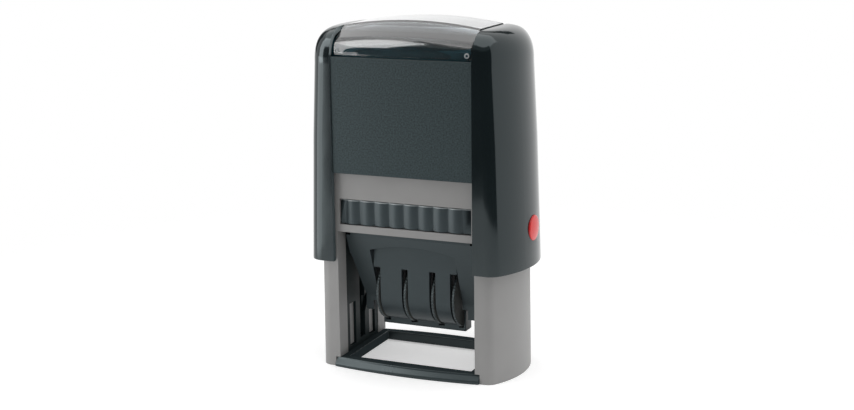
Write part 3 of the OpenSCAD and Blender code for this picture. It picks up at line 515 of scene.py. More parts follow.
def rub(tree, shader, factor, rough):
    """Gives a shader a roughness that runs from one value to another over a pattern."""
    tree.links.new(mapped(tree, factor, MIDDLE, rough), shader.inputs["Roughness"])


def tint(tree, shader, factor, value, change):
    """Gives a shader a colour that runs from a little darker to a little lighter over a pattern."""
    ramp = tree.nodes.new("ShaderNodeValToRGB")
    for stop, at, share in zip(ramp.color_ramp.elements, MIDDLE, (1 - change, 1 + change)):
        stop.position = at
        stop.color = (*[min(1, c * share) for c in value], 1)
    tree.links.new(factor, ramp.inputs["Fac"])
    tree.links.new(ramp.outputs["Color"], shader.inputs["Base Color"])


def bumpy(tree, shader, height, strength, depth):
    """Gives a shader bumps of a pattern, of a depth in metres."""
    bump = tree.nodes.new("ShaderNodeBump")
    bump.inputs["Strength"].default_value = strength
    bump.inputs["Distance"].default_value = depth
    tree.links.new(height, bump.inputs["Height"])
    tree.links.new(bump.outputs["Normal"], shader.inputs["Normal"])


def gloss(shader, level, hue):
    """Sets how strongly a plastic mirrors, and the hue of its reflections."""
    shader.inputs["Specular IOR Level"].default_value = level
    shader.inputs["Specular Tint"].default_value = (*hue, 1)


def moulded(
    name, value, rough, grain=0.3 * MM, strength=0.1, change=0.08, stretch=(1, 1, 1), patch=9 * MM,
    shine=0.5, hue=(1, 1, 1),
):
    """Moulded plastic: a grain of a given size, with patches a little duller and darker than others."""
    material, tree, shader, place = new_finish(name)
    patches = noise(tree, place, patch, detail=4)
    tint(tree, shader, patches, value, change)
    rub(tree, shader, patches, rough)
    bumpy(tree, shader, noise(tree, place, grain, detail=2, stretch=stretch), strength, depth=0.05 * MM)
    gloss(shader, shine, hue)
    return material


def polished(name, value, rough, shine=0.5, hue=(1, 1, 1)):
    """Polished plastic: faint waviness of the moulding and faint smudges."""
    material, tree, shader, place = new_finish(name)
    smudges = noise(tree, place, 14 * MM, detail=5)
    tint(tree, shader, smudges, value, change=0.06)
    rub(tree, shader, smudges, rough)
    bumpy(tree, shader, noise(tree, place, 6 * MM, detail=1), strength=0.04, depth=0.2 * MM)
    gloss(shader, shine, hue)
    return material


def clear_plastic(name, value, reach, stops, foot):
    """Clear plastic of the window, with a faint waviness, and painted shade in its tint from one reach to
    another.

    Each stop of the painted shade has its place between the reaches and its share of the slopes' tint, which
    darkens the slope and the belly; the foot has a share of the clear tint, a little painted shade there too.
    """
    material, tree, shader, place = new_finish(name)
    parts = tree.nodes.new("ShaderNodeSeparateXYZ")
    tree.links.new(place, parts.inputs["Vector"])
    depth = tree.nodes.new("ShaderNodeMath")
    depth.operation = "ABSOLUTE"
    tree.links.new(parts.outputs["Y"], depth.inputs[0])
    ramp = tree.nodes.new("ShaderNodeValToRGB")
    ramp.color_ramp.elements[0].color = (*value, 1)
    ramp.color_ramp.elements[1].color = (*[foot * c for c in value], 1)
    slope_shade = bpy.context.scene.stamp_colours.slope_shade
    for at, share in stops:
        ramp.color_ramp.elements.new(at).color = (*[share * c for c in slope_shade], 1)
    tree.links.new(mapped(tree, depth.outputs["Value"], reach), ramp.inputs["Fac"])
    tree.links.new(ramp.outputs["Color"], shader.inputs["Base Color"])
    shader.inputs["Transmission Weight"].default_value = 1
    shader.inputs["IOR"].default_value = 1.49
    shader.inputs["Coat Weight"].default_value = 0.85
    shader.inputs["Coat IOR"].default_value = 1.5
    rub(tree, shader, noise(tree, place, 8 * MM, detail=4), (0.01, 0.04))
    bumpy(tree, shader, noise(tree, place, 10 * MM, detail=1), strength=0.03, depth=0.2 * MM)
    return material


def paper(name, value):
    """Uncoated card with fine fibres."""
    material, tree, shader, place = new_finish(name)
    fibres = noise(tree, place, 0.35 * MM, detail=5, stretch=(1, 0.35, 1))
    tint(tree, shader, fibres, value, change=0.03)
    shader.inputs["Roughness"].default_value = 0.85
    bumpy(tree, shader, fibres, strength=0.2, depth=0.03 * MM)
    return material


def drawn_steel(name, value):
    """Drawn steel with fine lines along X."""
    material, tree, shader, place = new_finish(name)
    lines = noise(tree, place, 0.2 * MM, detail=3, stretch=(0.05, 1, 1))
    tint(tree, shader, lines, value, change=0.12)
    shader.inputs["Metallic"].default_value = 1
    rub(tree, shader, lines, (0.25, 0.4))
    bumpy(tree, shader, lines, strength=0.1, depth=0.02 * MM)
    return material


def soft_rubber(name, value):
    """Dull rubber with a fine powdery grain."""
    material, tree, shader, place = new_finish(name)
    grain = noise(tree, place, 0.25 * MM, detail=4)
    patches = noise(tree, place, 4 * MM, detail=4)
    tint(tree, shader, patches, value, change=0.18)
    rub(tree, shader, grain, (0.6, 0.8))
    bumpy(tree, shader, grain, strength=0.25, depth=0.04 * MM)
    return material


def inked_felt(name, value):
    """Felt soaked with ink: short tangled fibres and wet patches."""
    material, tree, shader, place = new_finish(name)
    fibres = noise(tree, place, 0.5 * MM, detail=8)
    wet = noise(tree, place, 6 * MM, detail=4)
    tint(tree, shader, fibres, value, change=0.5)
    rub(tree, shader, wet, (0.45, 0.95))
    shader.inputs["Sheen Weight"].default_value = 0.2
    bumpy(tree, shader, fibres, strength=0.7, depth=0.15 * MM)
    return material


# Hue of the slate plastic's reflections
SLATE = (0.84, 0.97, 1.0)
# Maker, material and settings of the finish for each of the colours
FINISHES = {
    "cap": (polished, "cap_polish", dict(rough=(0.07, 0.13), shine=0.6, hue=SLATE)),
    "panel": (moulded, "panel_grain", dict(
        rough=(0.42, 0.52), grain=0.5 * MM, strength=0.9, change=0.4, shine=0.25, hue=SLATE, patch=0.5 * MM,
    )),
    "base": (moulded, "base_satin", dict(rough=(0.4, 0.48), grain=0.22 * MM, strength=0.12, change=0.03)),
    "inner": (moulded, "inner_plastic", dict(rough=(0.4, 0.5), shine=0.1, hue=SLATE)),
    "foot": (polished, "foot_polish", dict(rough=(0.26, 0.34), shine=0.4, hue=SLATE)),
    # Painted shade on the foot's faces along X and its flat tops
    "foot_dull": (moulded, "foot_dull", dict(rough=(0.5, 0.6), shine=0)),
    "unit": (moulded, "date_unit_satin", dict(
        rough=(0.38, 0.46), strength=0.25, change=0.1, stretch=(0.06, 1, 1), hue=SLATE,
    )),
    "wheel": (moulded, "wheel_satin", dict(rough=(0.38, 0.46), hue=SLATE)),
    "lining": (moulded, "window_lining", dict(rough=(0.5, 0.6), shine=0.3, hue=SLATE)),
    # Painted light on the inward faces of the cap's pillars
    "flank": (moulded, "pillar_flanks", dict(rough=(0.35, 0.45), shine=0.3, hue=SLATE)),
    "seat": (moulded, "window_seat", dict(rough=(0.25, 0.35), hue=SLATE)),
    "clip": (polished, "window_clips", dict(rough=(0.1, 0.2))),
    # Painted shade on the clear window's ends
    "rim": (moulded, "window_ends", dict(rough=(0.3, 0.4), shine=0.3)),
    # Painted light on the wheels' sides, matte so they mirror little
    "shade": (moulded, "shaded_sides", dict(rough=(0.5, 0.6), shine=0.1)),
    "grip": (moulded, "grip_satin", dict(rough=(0.38, 0.46), grain=0.4 * MM, strength=0.05, hue=SLATE)),
    # Painted highlight along the tops of the grip's ribs
    "worn": (moulded, "worn_ribs", dict(rough=(0.3, 0.4), change=0.2)),
    "card": (paper, "card_paper", {}),
    "rubber": (soft_rubber, "die_rubber", {}),
    "band": (soft_rubber, "band_rubber", {}),
    "felt": (inked_felt, "inked_felt", {}),
    "steel": (drawn_steel, "drawn_steel", {}),
    "mount": (moulded, "die_plate", dict(rough=(0.4, 0.5))),
    "button": (polished, "button_polish", dict(rough=(0.16, 0.24), shine=0.4)),
    # The stops paint shade on the clear window: dark over its slope and belly, clearing again at its foot
    "clear": (clear_plastic, "clear_plastic", dict(
        reach=(9 * MM, 17 * MM), stops=((0.06, 2), (0.2, 0.8), (0.42, 0.15), (0.85, 0.1)), foot=0.9,
    )),
}
# Finishes made so far
_made = {}


def finish(name):
    """The finish of a given name, made once."""
    if name not in _made:
        maker, title, settings = FINISHES[name]
        _made[name] = maker(title, getattr(bpy.context.scene.stamp_colours, name), **settings)
    return _made[name]


# Pieces of the base

class STAMP_OT_base(Operator):
    """Grey lower casing: a curved skin with windows, a pad slot and deep window sides"""

    bl_idname = "stamp.base"
    bl_label = "Base"

    def pocket(self, bm, side, size, cap_low):
        """Round pocket in a side, which takes a pressed lock button's flange."""
        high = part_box("base_shell")[1]
        height, flange_r = button_circle()
        floor_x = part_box("lock_button_right")[0].x - travel("button_right_press") - size.pocket_gap
        lean = (size.base_taper - size.base_draft) / (high.z - cap_low)
        rim = round_cut(
            bm, side, flange_r + size.pocket_gap, height,
            lambda y, z: high.x - size.base_draft - lean * (z - cap_low) - sag(y, size.base_side_r),
        )
        made = bmesh.ops.extrude_edge_only(bm, edges=rim)
        for v in picked(made, BMVert):
            v.co.x = side * floor_x
        bmesh.ops.contextual_create(bm, geom=picked(made, BMEdge))

    def pads(self, bm, size, side):
        """Pads on a side wall, which show through the guide wall's small openings."""
        near = side * (size.window_w / 2 + size.guide_gap + size.pad_recess)
        far = side * (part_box("base_shell")[1].x - size.base_taper - size.base_wall)
        for y, height in ((-size.pad_y, size.pad_front_h), (size.pad_y, size.pad_h)):
            box_mesh(
                bm, (min(near, far), y - size.pad_w / 2, size.pad_low),
                (max(near, far), y + size.pad_w / 2, size.pad_low + height),
            )

    def execute(self, context):
        size = context.scene.stamp_sizes
        low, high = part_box("base_shell")
        cap_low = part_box("cap_shell")[0].z
        tray_low, tray_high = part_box("pad_tray")
        foot_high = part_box("foot_frame")[1]
        stations = [
            (high.x, high.y, low.z),
            (high.x - size.base_draft, high.y, cap_low),
            (high.x - size.base_taper, high.y - size.base_depth_taper, high.z),
        ]
        bm = bmesh.new()
        skin(bm, [plan_ring(bm, a, b, size.base_side_r, size.base_corner_r, z) for a, b, z in stations])
        gap = size.slot_gap
        slot_low = tray_low.z - gap
        half = size.window_w / 2
        cut_open(bm, (-half, -FAR, -FAR), (half, FAR, slot_low - size.crossbar_h))
        cut_open(bm, (tray_low.x - gap, -FAR, slot_low), (tray_high.x + gap, 0, tray_high.z + gap))
        foot_half = foot_high.x + size.foot_gap
        cut_open(bm, (-foot_half, -FAR, -FAR), (foot_half, FAR, foot_high.z + size.foot_gap))
        for side in (-1, 1):
            self.pocket(bm, side, size, cap_low)
        outward(bm)
        for side in (-1, 1):
            rim = [
                e for e in bm.edges
                if e.is_boundary and abs(e.verts[0].co.z - e.verts[1].co.z) > NEAR
                and all(abs(abs(v.co.x) - half) < NEAR and v.co.y * side > 0 for v in e.verts)
            ]
            made = bmesh.ops.extrude_edge_only(bm, edges=rim)
            bmesh.ops.translate(bm, verts=picked(made, BMVert), vec=(0, -side * size.pillar_d, 0))
        outward(bm)
        bmesh.ops.solidify(bm, geom=bm.faces[:], thickness=size.base_wall)
        outward(bm)
        for side in (-1, 1):
            self.pads(bm, size, side)
        height, flange_r = button_circle()
        axis = Vector((0, height))
        reach = flange_r + size.pocket_gap + size.base_wall
        plain = [
            e for e in bm.edges
            if any(abs(v.co.x) < half or (v.co.yz - axis).length > reach for v in e.verts)
        ]
        soften(bm, size.base_edge, edges=plain)
        # Merges points that the bevel leaves almost together, which would else merge in some runs only
        bmesh.ops.remove_doubles(bm, verts=bm.verts[:], dist=CLOSE)
        for v in bm.verts:
            v.co.z = max(v.co.z, low.z)
        finish_piece("base_casing", bm, ["base"], "base", ["base_shell"])
        return {"FINISHED"}


class STAMP_OT_inner(Operator):
    """Guide walls, deck, legs, carrier, die, bands, ink cartridge and foot, with softened edges"""

    bl_idname = "stamp.inner"
    bl_label = "Inner pieces"

    # Name, node, finishes, body, slot and share of the inner pieces' rounding
    PIECES = [
        ("foot_ring", "foot_frame", ["foot", "foot_dull"], "base", "foot_black", 2),
        ("guide_wall_left", "guide_left", ["inner"], "base", "inner_grey", 1),
        ("guide_wall_right", "guide_right", ["inner"], "base", "inner_grey", 1),
        ("deck", "spring_deck", ["inner"], "base", "inner_grey", 1),
        ("leg_left", "cap_leg_left", ["inner"], "cap", "inner_grey", 1),
        ("leg_right", "cap_leg_right", ["inner"], "cap", "inner_grey", 1),
        ("hood", "carrier_hood", ["unit"], "carrier", "date_unit_slate", 1),
        ("drum", "drum_cover", ["unit"], "carrier", "date_unit_slate", 1),
        ("bridge", "band_bridge", ["inner"], "carrier", "inner_grey", 1),
        ("die_plate", "die_mount", ["mount"], "carrier", "mount_grey", 1),
        ("die", "die_rubber", ["rubber"], "carrier", "die_rubber", 0.5),
        ("pins", "pivot_pins", ["steel"], "carrier", "steel", 1),
        ("axle", "wheel_axle", ["steel"], "carrier", "steel", 1),
        *[(f"band_{k}", f"date_band_{k}", ["band"], "carrier", "band_rubber", 0.5) for k in WHEELS],
        # The cartridge's second finish paints a highlight along its ribs' tops
        ("cartridge", "pad_tray", ["grip", "worn"], "pad", "grip_slate", 1),
    ]

    # Part of a normal from which a face counts as facing the front
    FRONT = 0.5

    def chamfer_rib_tops(self, bm, size):
        """Cuts a narrow slope along the top of the grip's ribs and gives its front faces the second finish, a
        light colour that paints a highlight along the ribs' tops.
        """
        low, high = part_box("pad_tray")
        line = high.z - size.rib_chamfer
        everything = bm.verts[:] + bm.edges[:] + bm.faces[:]
        bmesh.ops.bisect_plane(bm, geom=everything, dist=TINY, plane_co=(0, 0, line), plane_no=(0, 0, 1))
        front = low.y + size.rib_reach
        # Faces of the slope on the ribs' fronts get the painted highlight
        for face in bm.faces:
            centre = face.calc_center_median()
            if centre.z > line and centre.y < front and face.normal.y < -self.FRONT:
                face.material_index = 1
        for v in bm.verts:
            if v.co.z > high.z - MERGE and v.co.y < front:
                v.co.y += size.rib_chamfer / 2

    def execute(self, context):
        size = context.scene.stamp_sizes
        for name, node, looks, body, slot, rounding in self.PIECES:
            bm = copy_of(node)
            if node == "pad_tray":
                self.chamfer_rib_tops(bm, size)
            soften(bm, rounding * size.inner_edge, segments=2)
            piece = finish_piece(name, bm, looks, body, [node])
            # The foot's faces along X and its flat tops get painted shade: a matte copy of its plastic
            # without reflections
            if node == "foot_frame":
                paint_end_shading(piece, tops=True)
        return {"FINISHED"}


class STAMP_OT_spring(Operator):
    """Return spring: a wire wound by a spin that climbs"""

    bl_idname = "stamp.spring"
    bl_label = "Spring"

    # Steps of a coil and sides of the wire
    STEPS = 32
    SIDES = 12

    def execute(self, context):
        size = context.scene.stamp_sizes
        low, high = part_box("return_spring")
        wire_r = size.wire_dia / 2
        steps = self.STEPS * size.coils
        climb = (high.z - low.z - size.wire_dia) / steps
        bm = bmesh.new()
        start = Matrix.Translation((high.x - wire_r, 0, low.z + wire_r))
        wire, first = circle(bm, self.SIDES, wire_r, start @ Matrix.Rotation(math.pi / 2, 4, "X"))
        made = bmesh.ops.spin(
            bm, geom=wire + first, cent=(0, 0, 0), axis=(0, 0, 1), dvec=(0, 0, climb),
            angle=2 * math.pi * size.coils, steps=steps,
        )
        last = [part for part in made["geom_last"] if isinstance(part, BMEdge)]
        for loop in (first, last):
            bmesh.ops.contextual_create(bm, geom=loop)
        outward(bm)
        spring = finish_piece("spring", bm, ["steel"], "base", ["return_spring"])
        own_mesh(spring)
        return {"FINISHED"}


# Pieces of the cap

class STAMP_OT_cap(Operator):
    """Polished cap: two rounded ends with their pillars, and the roof between them"""

    bl_idname = "stamp.cap"
    bl_label = "Cap"

    # Steps of the rounded shoulder
    STEPS = 16
    # Part of a normal that points inwards, from which a face counts as a flank and gets painted light
    INWARD = 0.6

    def rings(self, bm, size, low, high):
        """Outlines from the lower edge up over the rounded shoulder."""
        shoulder_z = high.z - size.shoulder_h
        shoulder_a = high.x - size.cap_taper
        shoulder_b = high.y - size.cap_depth_taper
        swell_b = high.y - size.cap_depth_taper * size.cap_swell_h / (shoulder_z - low.z)
        stations = [
            (high.x, high.y, low.z),
            (self.swell_a(size, low, high), swell_b, low.z + size.cap_swell_h),
        ]
        bend = 2 / size.shoulder_power
        for i in range(self.STEPS + 1):
            turn = math.pi / 2 * i / self.STEPS
            draw = 1 - max(0, math.cos(turn)) ** bend
            stations.append((
                shoulder_a - size.shoulder_in * draw,
                shoulder_b - size.shoulder_in_d * draw,
                shoulder_z + size.shoulder_h * math.sin(turn) ** bend,
            ))
        return [plan_ring(bm, a, b, size.cap_side_r, size.cap_corner_r, z) for a, b, z in stations]

    def swell_a(self, size, low, high):
        """Half width of the cap where its sides swell."""
        straight = size.cap_swell_h / (high.z - size.shoulder_h - low.z)
        return high.x - size.cap_taper * straight + size.cap_swell

    def button_hole(self, bm, side, size, low, high):
        """Round hole for a lock button."""
        height, flange_r = button_circle()
        lean = (high.x - self.swell_a(size, low, high)) / size.cap_swell_h
        round_cut(
            bm, side, flange_r - size.flange + size.run, height,
            lambda y, z: high.x - lean * (z - low.z) - sag(y, size.cap_side_r),
        )

    def roof(self, bm, size):
        """Roof under the card, with a skirt front and rear."""
        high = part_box("index_window")[1]
        card_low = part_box("index_card")[0]
        panel_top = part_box("front_panel")[1].z
        face_y = high.y - size.roof_in
        skirt_y = face_y - size.skirt_t
        skirt_z = panel_top - size.skirt_lap
        crease_y = size.glass_top_d / 2 + size.crease_out - size.roof_crease
        crease_z = high.z - size.crease_drop - size.glass_arch
        half = [
            (face_y, skirt_z), (face_y, panel_top + size.roof_rise), (crease_y, crease_z),
            (size.glass_top_d / 2 - size.roof_ledge, card_low.z),
        ]
        inner = [(skirt_y, card_low.z - size.roof_t), (skirt_y, skirt_z)]
        loop = [(-y, z) for y, z in half] + half[::-1] + inner[::-1] + [(-y, z) for y, z in inner]
        return prism_x(bm, loop, -size.roof_half, size.roof_half)

    def execute(self, context):
        size = context.scene.stamp_sizes
        low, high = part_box("cap_shell")
        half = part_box("front_panel")[1].x + size.joint_line / 2
        bm = bmesh.new()
        rings = self.rings(bm, size, low, high)
        skin(bm, rings)
        bmesh.ops.contextual_create(bm, geom=rings[-1])
        cut_open(bm, (-half, -FAR, -FAR), (half, FAR, FAR))
        for side in (-1, 1):
            self.button_hole(bm, side, size, low, high)
        outward(bm)
        bmesh.ops.solidify(bm, geom=bm.faces[:], thickness=size.cap_wall)
        outward(bm)
        reach = half + size.cap_wall
        between = [e for e in bm.edges if all(abs(v.co.x) < reach for v in e.verts)]
        soften(bm, size.cap_edge, segments=4, edges=between)
        soften(bm, size.button_edge, segments=2)
        for face in self.roof(bm, size):
            face.material_index = 1
        looks = ["cap", "lining", "flank", "seat"]
        cap = finish_piece("cap", bm, looks, "cap", ["cap_shell"])
        # The pillars' inward faces get painted light: the flank colour beside the panels, the lighter seat
        # colour beside the window
        seat_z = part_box("front_panel")[1].z
        for face in cap.data.polygons:
            inward = -math.copysign(1, face.center.x) * face.normal.x
            if face.material_index == 0 and inward > self.INWARD and abs(face.center.x) < reach:
                face.material_index = 3 if face.center.z > seat_z else 2
        return {"FINISHED"}


class STAMP_OT_panels(Operator):
    """Grained panels between the cap's pillars, front and rear"""

    bl_idname = "stamp.panels"
    bl_label = "Panels"

    def execute(self, context):
        size = context.scene.stamp_sizes
        for name in ("front", "rear"):
            low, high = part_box(f"{name}_panel")
            line = Vector((size.joint_line / 2, 0, 0))
            bm = bmesh.new()
            box_mesh(bm, low + line, high - line)
            soften(bm, size.panel_edge, segments=4)
            finish_piece(f"panel_{name}", bm, ["panel"], "cap", [f"{name}_panel"])
        return {"FINISHED"}


class STAMP_OT_window(Operator):
    """Clear index window, bent from a sheet and arched, and the card under it"""

    bl_idname = "stamp.window"
    bl_label = "Index window and card"

    # Steps of the sheet along X and of its belly, and sides and steps of a clip
    STEPS = 36
    BELLY = 7
    CLIP_SIDES = 10
    CLIP_STEPS = 24
    # Share of the arch at the crease
    CREASE = 0.5

    def arch(self, bm, size, high):
        """Lowers the sheet towards its ends: fully at the top, less at the crease and not at its foot."""
        crease_z = high.z - size.crease_drop
        start_z = crease_z - size.arch_fade
        for v in bm.verts:
            end = v.co.x / high.x
            if v.co.z > crease_z:
                share = self.CREASE + (1 - self.CREASE) * (v.co.z - crease_z) / size.crease_drop
            else:
                share = self.CREASE * max(0, (v.co.z - start_z) / size.arch_fade)
            v.co.z -= size.glass_arch * end * end * share
            bow = min(1, (1 - share) / (1 - self.CREASE))
            v.co.y -= math.copysign(size.glass_bow * end * end * bow, v.co.y)

    def foot_y(self, size):
        """Distance of the window's lower edge from the middle, a little behind the panel's face."""
        return abs(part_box("front_panel")[0].y) - size.foot_in

    def sheet(self, size, low, high):
        """Bent sheet: its line in Y and Z, drawn out along X in steps, with the bends rounded."""
        face_y = self.foot_y(size)
        crease = Vector((size.glass_top_d / 2 + size.crease_out, high.z - size.crease_drop))
        full = Vector((face_y + size.belly, high.z - size.belly_drop))
        foot = Vector((face_y, low.z))
        half = []
        for i in range(self.BELLY + 1):
            t = i / self.BELLY
            half.append((1 - t) ** 2 * foot + 2 * t * (1 - t) * full + t ** 2 * crease)
        half.append(Vector((size.glass_top_d / 2, high.z)))
        line = [(-y, z) for y, z in half] + half[::-1]
        bm = bmesh.new()
        verts = [bm.verts.new((low.x, y, z)) for y, z in line]
        edges = [bm.edges.new(pair) for pair in zip(verts, verts[1:])]
        for _ in range(self.STEPS):
            made = bmesh.ops.extrude_edge_only(bm, edges=edges)
            edges = picked(made, BMEdge)
            step = (high.x - low.x) / self.STEPS
            bmesh.ops.translate(bm, verts=picked(made, BMVert), vec=(step, 0, 0))
        return bm

    def clip(self, bm, size, at):
        """Small ring that clips the window in at a corner."""
        before = set(bm.faces)
        start = Matrix.Translation(at + Vector((size.clip_r, 0, 0)))
        rim, edges = circle(bm, self.CLIP_SIDES, size.clip_t / 2, start)
        bmesh.ops.spin(
            bm, geom=rim + edges, cent=at, axis=(0, 1, 0), angle=2 * math.pi, steps=self.CLIP_STEPS,
            use_merge=True,
        )
        ring = [face for face in bm.faces if face not in before]
        outward(bm, ring)
        for face in ring:
            face.material_index = 2

    def execute(self, context):
        size = context.scene.stamp_sizes
        low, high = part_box("index_window")
        low.x += size.glass_gap
        high.x -= size.glass_gap
        bm = self.sheet(size, low, high)
        outward(bm)
        soften(bm, size.bend_r, segments=4, limit=8)
        self.arch(bm, size, high)
        outward(bm)
        bmesh.ops.solidify(bm, geom=bm.faces[:], thickness=size.glass_t)
        outward(bm)
        soften(bm, size.glass_edge, limit=50)
        clip_x = high.x - 2 * size.clip_r
        clip_y = self.foot_y(size) - size.glass_bow * (clip_x / high.x) ** 2
        for x in (-clip_x, clip_x):
            for y in (-clip_y, clip_y):
                self.clip(bm, size, Vector((x, y, low.z + 2 * size.clip_r)))
        # The window's ends along X get painted shade: an opaque dark finish in place of clear plastic
        looks = ["clear", "rim", "clip"]
        paint_end_shading(finish_piece("window", bm, looks, "window", ["index_window"]))
        low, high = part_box("index_card")
        bm = bmesh.new()
        box_mesh(bm, low, high)
        corners = [e for e in bm.edges if abs(e.verts[0].co.z - e.verts[1].co.z) > MERGE]
        soften(bm, size.card_corner, segments=5, edges=corners)
        finish_piece("card", bm, ["card"], "cap", ["index_card"])
        return {"FINISHED"}


class STAMP_OT_buttons(Operator):
    """Red lock buttons, turned with a slight dome, a rounded rim and a flange"""

    bl_idname = "stamp.buttons"
    bl_label = "Lock buttons"

    RIM_STEPS = 5
    DOME_STEPS = 8

    def execute(self, context):
        size = context.scene.stamp_sizes
        for name, side in (("left", -1), ("right", 1)):
            node = f"lock_button_{name}"
            low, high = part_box(node)
            height, flange_r = button_circle()
            outer = max(abs(low.x), abs(high.x))
            inner = min(abs(low.x), abs(high.x))
            face_r = flange_r - size.flange
            flange_x = inner + size.flange_t
            rim = size.button_rim
            rim_x = outer - size.button_dome
            profile = [
                (inner, 0), (inner, flange_r), (flange_x, flange_r), (flange_x, face_r),
                (rim_x - rim, face_r),
            ]
            for i in range(1, self.RIM_STEPS + 1):
                turn = math.pi / 2 * i / self.RIM_STEPS
                profile.append((rim_x - rim + rim * math.sin(turn), face_r - rim + rim * math.cos(turn)))
            for i in range(1, self.DOME_STEPS + 1):
                share = 1 - i / self.DOME_STEPS
                profile.append((rim_x + size.button_dome * (1 - share * share), (face_r - rim) * share))
            bm = bmesh.new()
            turned_x(bm, [(side * x, r) for x, r in profile], Vector((0, 0, height)))
            outward(bm)
            finish_piece(f"button_{name}", bm, ["button"], f"button_{name}", [node])
        return {"FINISHED"}


# Date wheels and ink pad

class STAMP_OT_wheels(Operator):
    """Date wheels: a thin notched thumb disc and a hub, which the last wheel has on its left"""

    bl_idname = "stamp.wheels"
    bl_label = "Date wheels"

    # Chamfer of a thumb disc's rim
    EDGE = 0.12 * MM
    # Depth of a notch at its steps
    NOTCH = (0, 0.5, 1, 0.5)

    def drawn(self, bm, edges, size, centre, x, radius, notched):
        """Draws a ring on to a place along X and a radius, with notches if asked. Returns its edges."""
        made = bmesh.ops.extrude_edge_only(bm, edges=edges)
        step = 2 * math.pi / (len(self.NOTCH) * size.notches)
        for v in picked(made, BMVert):
            turn = math.atan2(v.co.y, v.co.z - centre.z)
            dip = self.NOTCH[round(turn / step) % len(self.NOTCH)] * size.notch if notched else 0
            v.co = Vector((x, math.sin(turn) * (radius - dip), centre.z + math.cos(turn) * (radius - dip)))
        return picked(made, BMEdge)

    def execute(self, context):
        size = context.scene.stamp_sizes
        for k in WHEELS:
            node = f"date_wheel_{k}"
            low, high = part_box(node)
            centre = Vector((0, 0, (low.z + high.z) / 2))
            radius = (high.z - low.z) / 2
            bore = size.axle_r + size.run
            way, face_x, hub_x = (-1, high.x, low.x) if k == WHEELS[-1] else (1, low.x, high.x)
            back_x = face_x + way * size.disc_t
            bm = bmesh.new()
            place = along_x((face_x, centre.y, centre.z))
            edges = circle(bm, len(self.NOTCH) * size.notches, bore, place)[1]
            rings = [
                (face_x, radius - self.EDGE, True), (face_x + way * self.EDGE, radius, True),
                (back_x - way * self.EDGE, radius, True), (back_x, radius - self.EDGE, True),
                (back_x, size.hub_r, False), (hub_x, size.hub_r, False),
                (hub_x, bore, False), (face_x, bore, False),
            ]
            for x, r, notched in rings:
                edges = self.drawn(bm, edges, size, centre, x, r, notched)
            bmesh.ops.remove_doubles(bm, verts=bm.verts[:], dist=TINY)
            outward(bm)
            # The wheels' faces along X get painted light: a lighter matte colour than the discs
            looks = ["wheel", "shade"]
            paint_end_shading(finish_piece(f"wheel_{k}", bm, looks, f"wheel_{k}", [node]))
        return {"FINISHED"}


class STAMP_OT_felt(Operator):
    """Inked felt in the cartridge, slightly crowned"""

    bl_idname = "stamp.felt"
    bl_label = "Ink felt"

    CUTS = 24
    # Powers of the crown and of the waist: the higher, the closer to the edges
    CROWN = 6
    WAIST = 9

    def execute(self, context):
        size = context.scene.stamp_sizes
        low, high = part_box("ink_pad")
        bm = bmesh.new()
        faces = box_mesh(bm, low, high)
        edges = once(e for f in faces for e in f.edges)
        bmesh.ops.subdivide_edges(bm, edges=edges, cuts=self.CUTS, use_grid_fill=True)
        middle = (low + high) / 2
        half = (high - low) / 2
        for v in bm.verts:
            x = (v.co.x - middle.x) / half.x
            y = (v.co.y - middle.y) / half.y
            crown = (1 - x ** self.CROWN) * (1 - y ** self.CROWN)
            if v.co.z < middle.z:
                v.co.z += size.felt_crown * (1 - crown)
            v.co.x -= size.felt_waist * x ** self.WAIST * (1 - abs(v.co.z - middle.z) / half.z)
        outward(bm)
        felt = finish_piece("felt", bm, ["felt"], "pad", ["ink_pad"])
        return {"FINISHED"}


# Studio

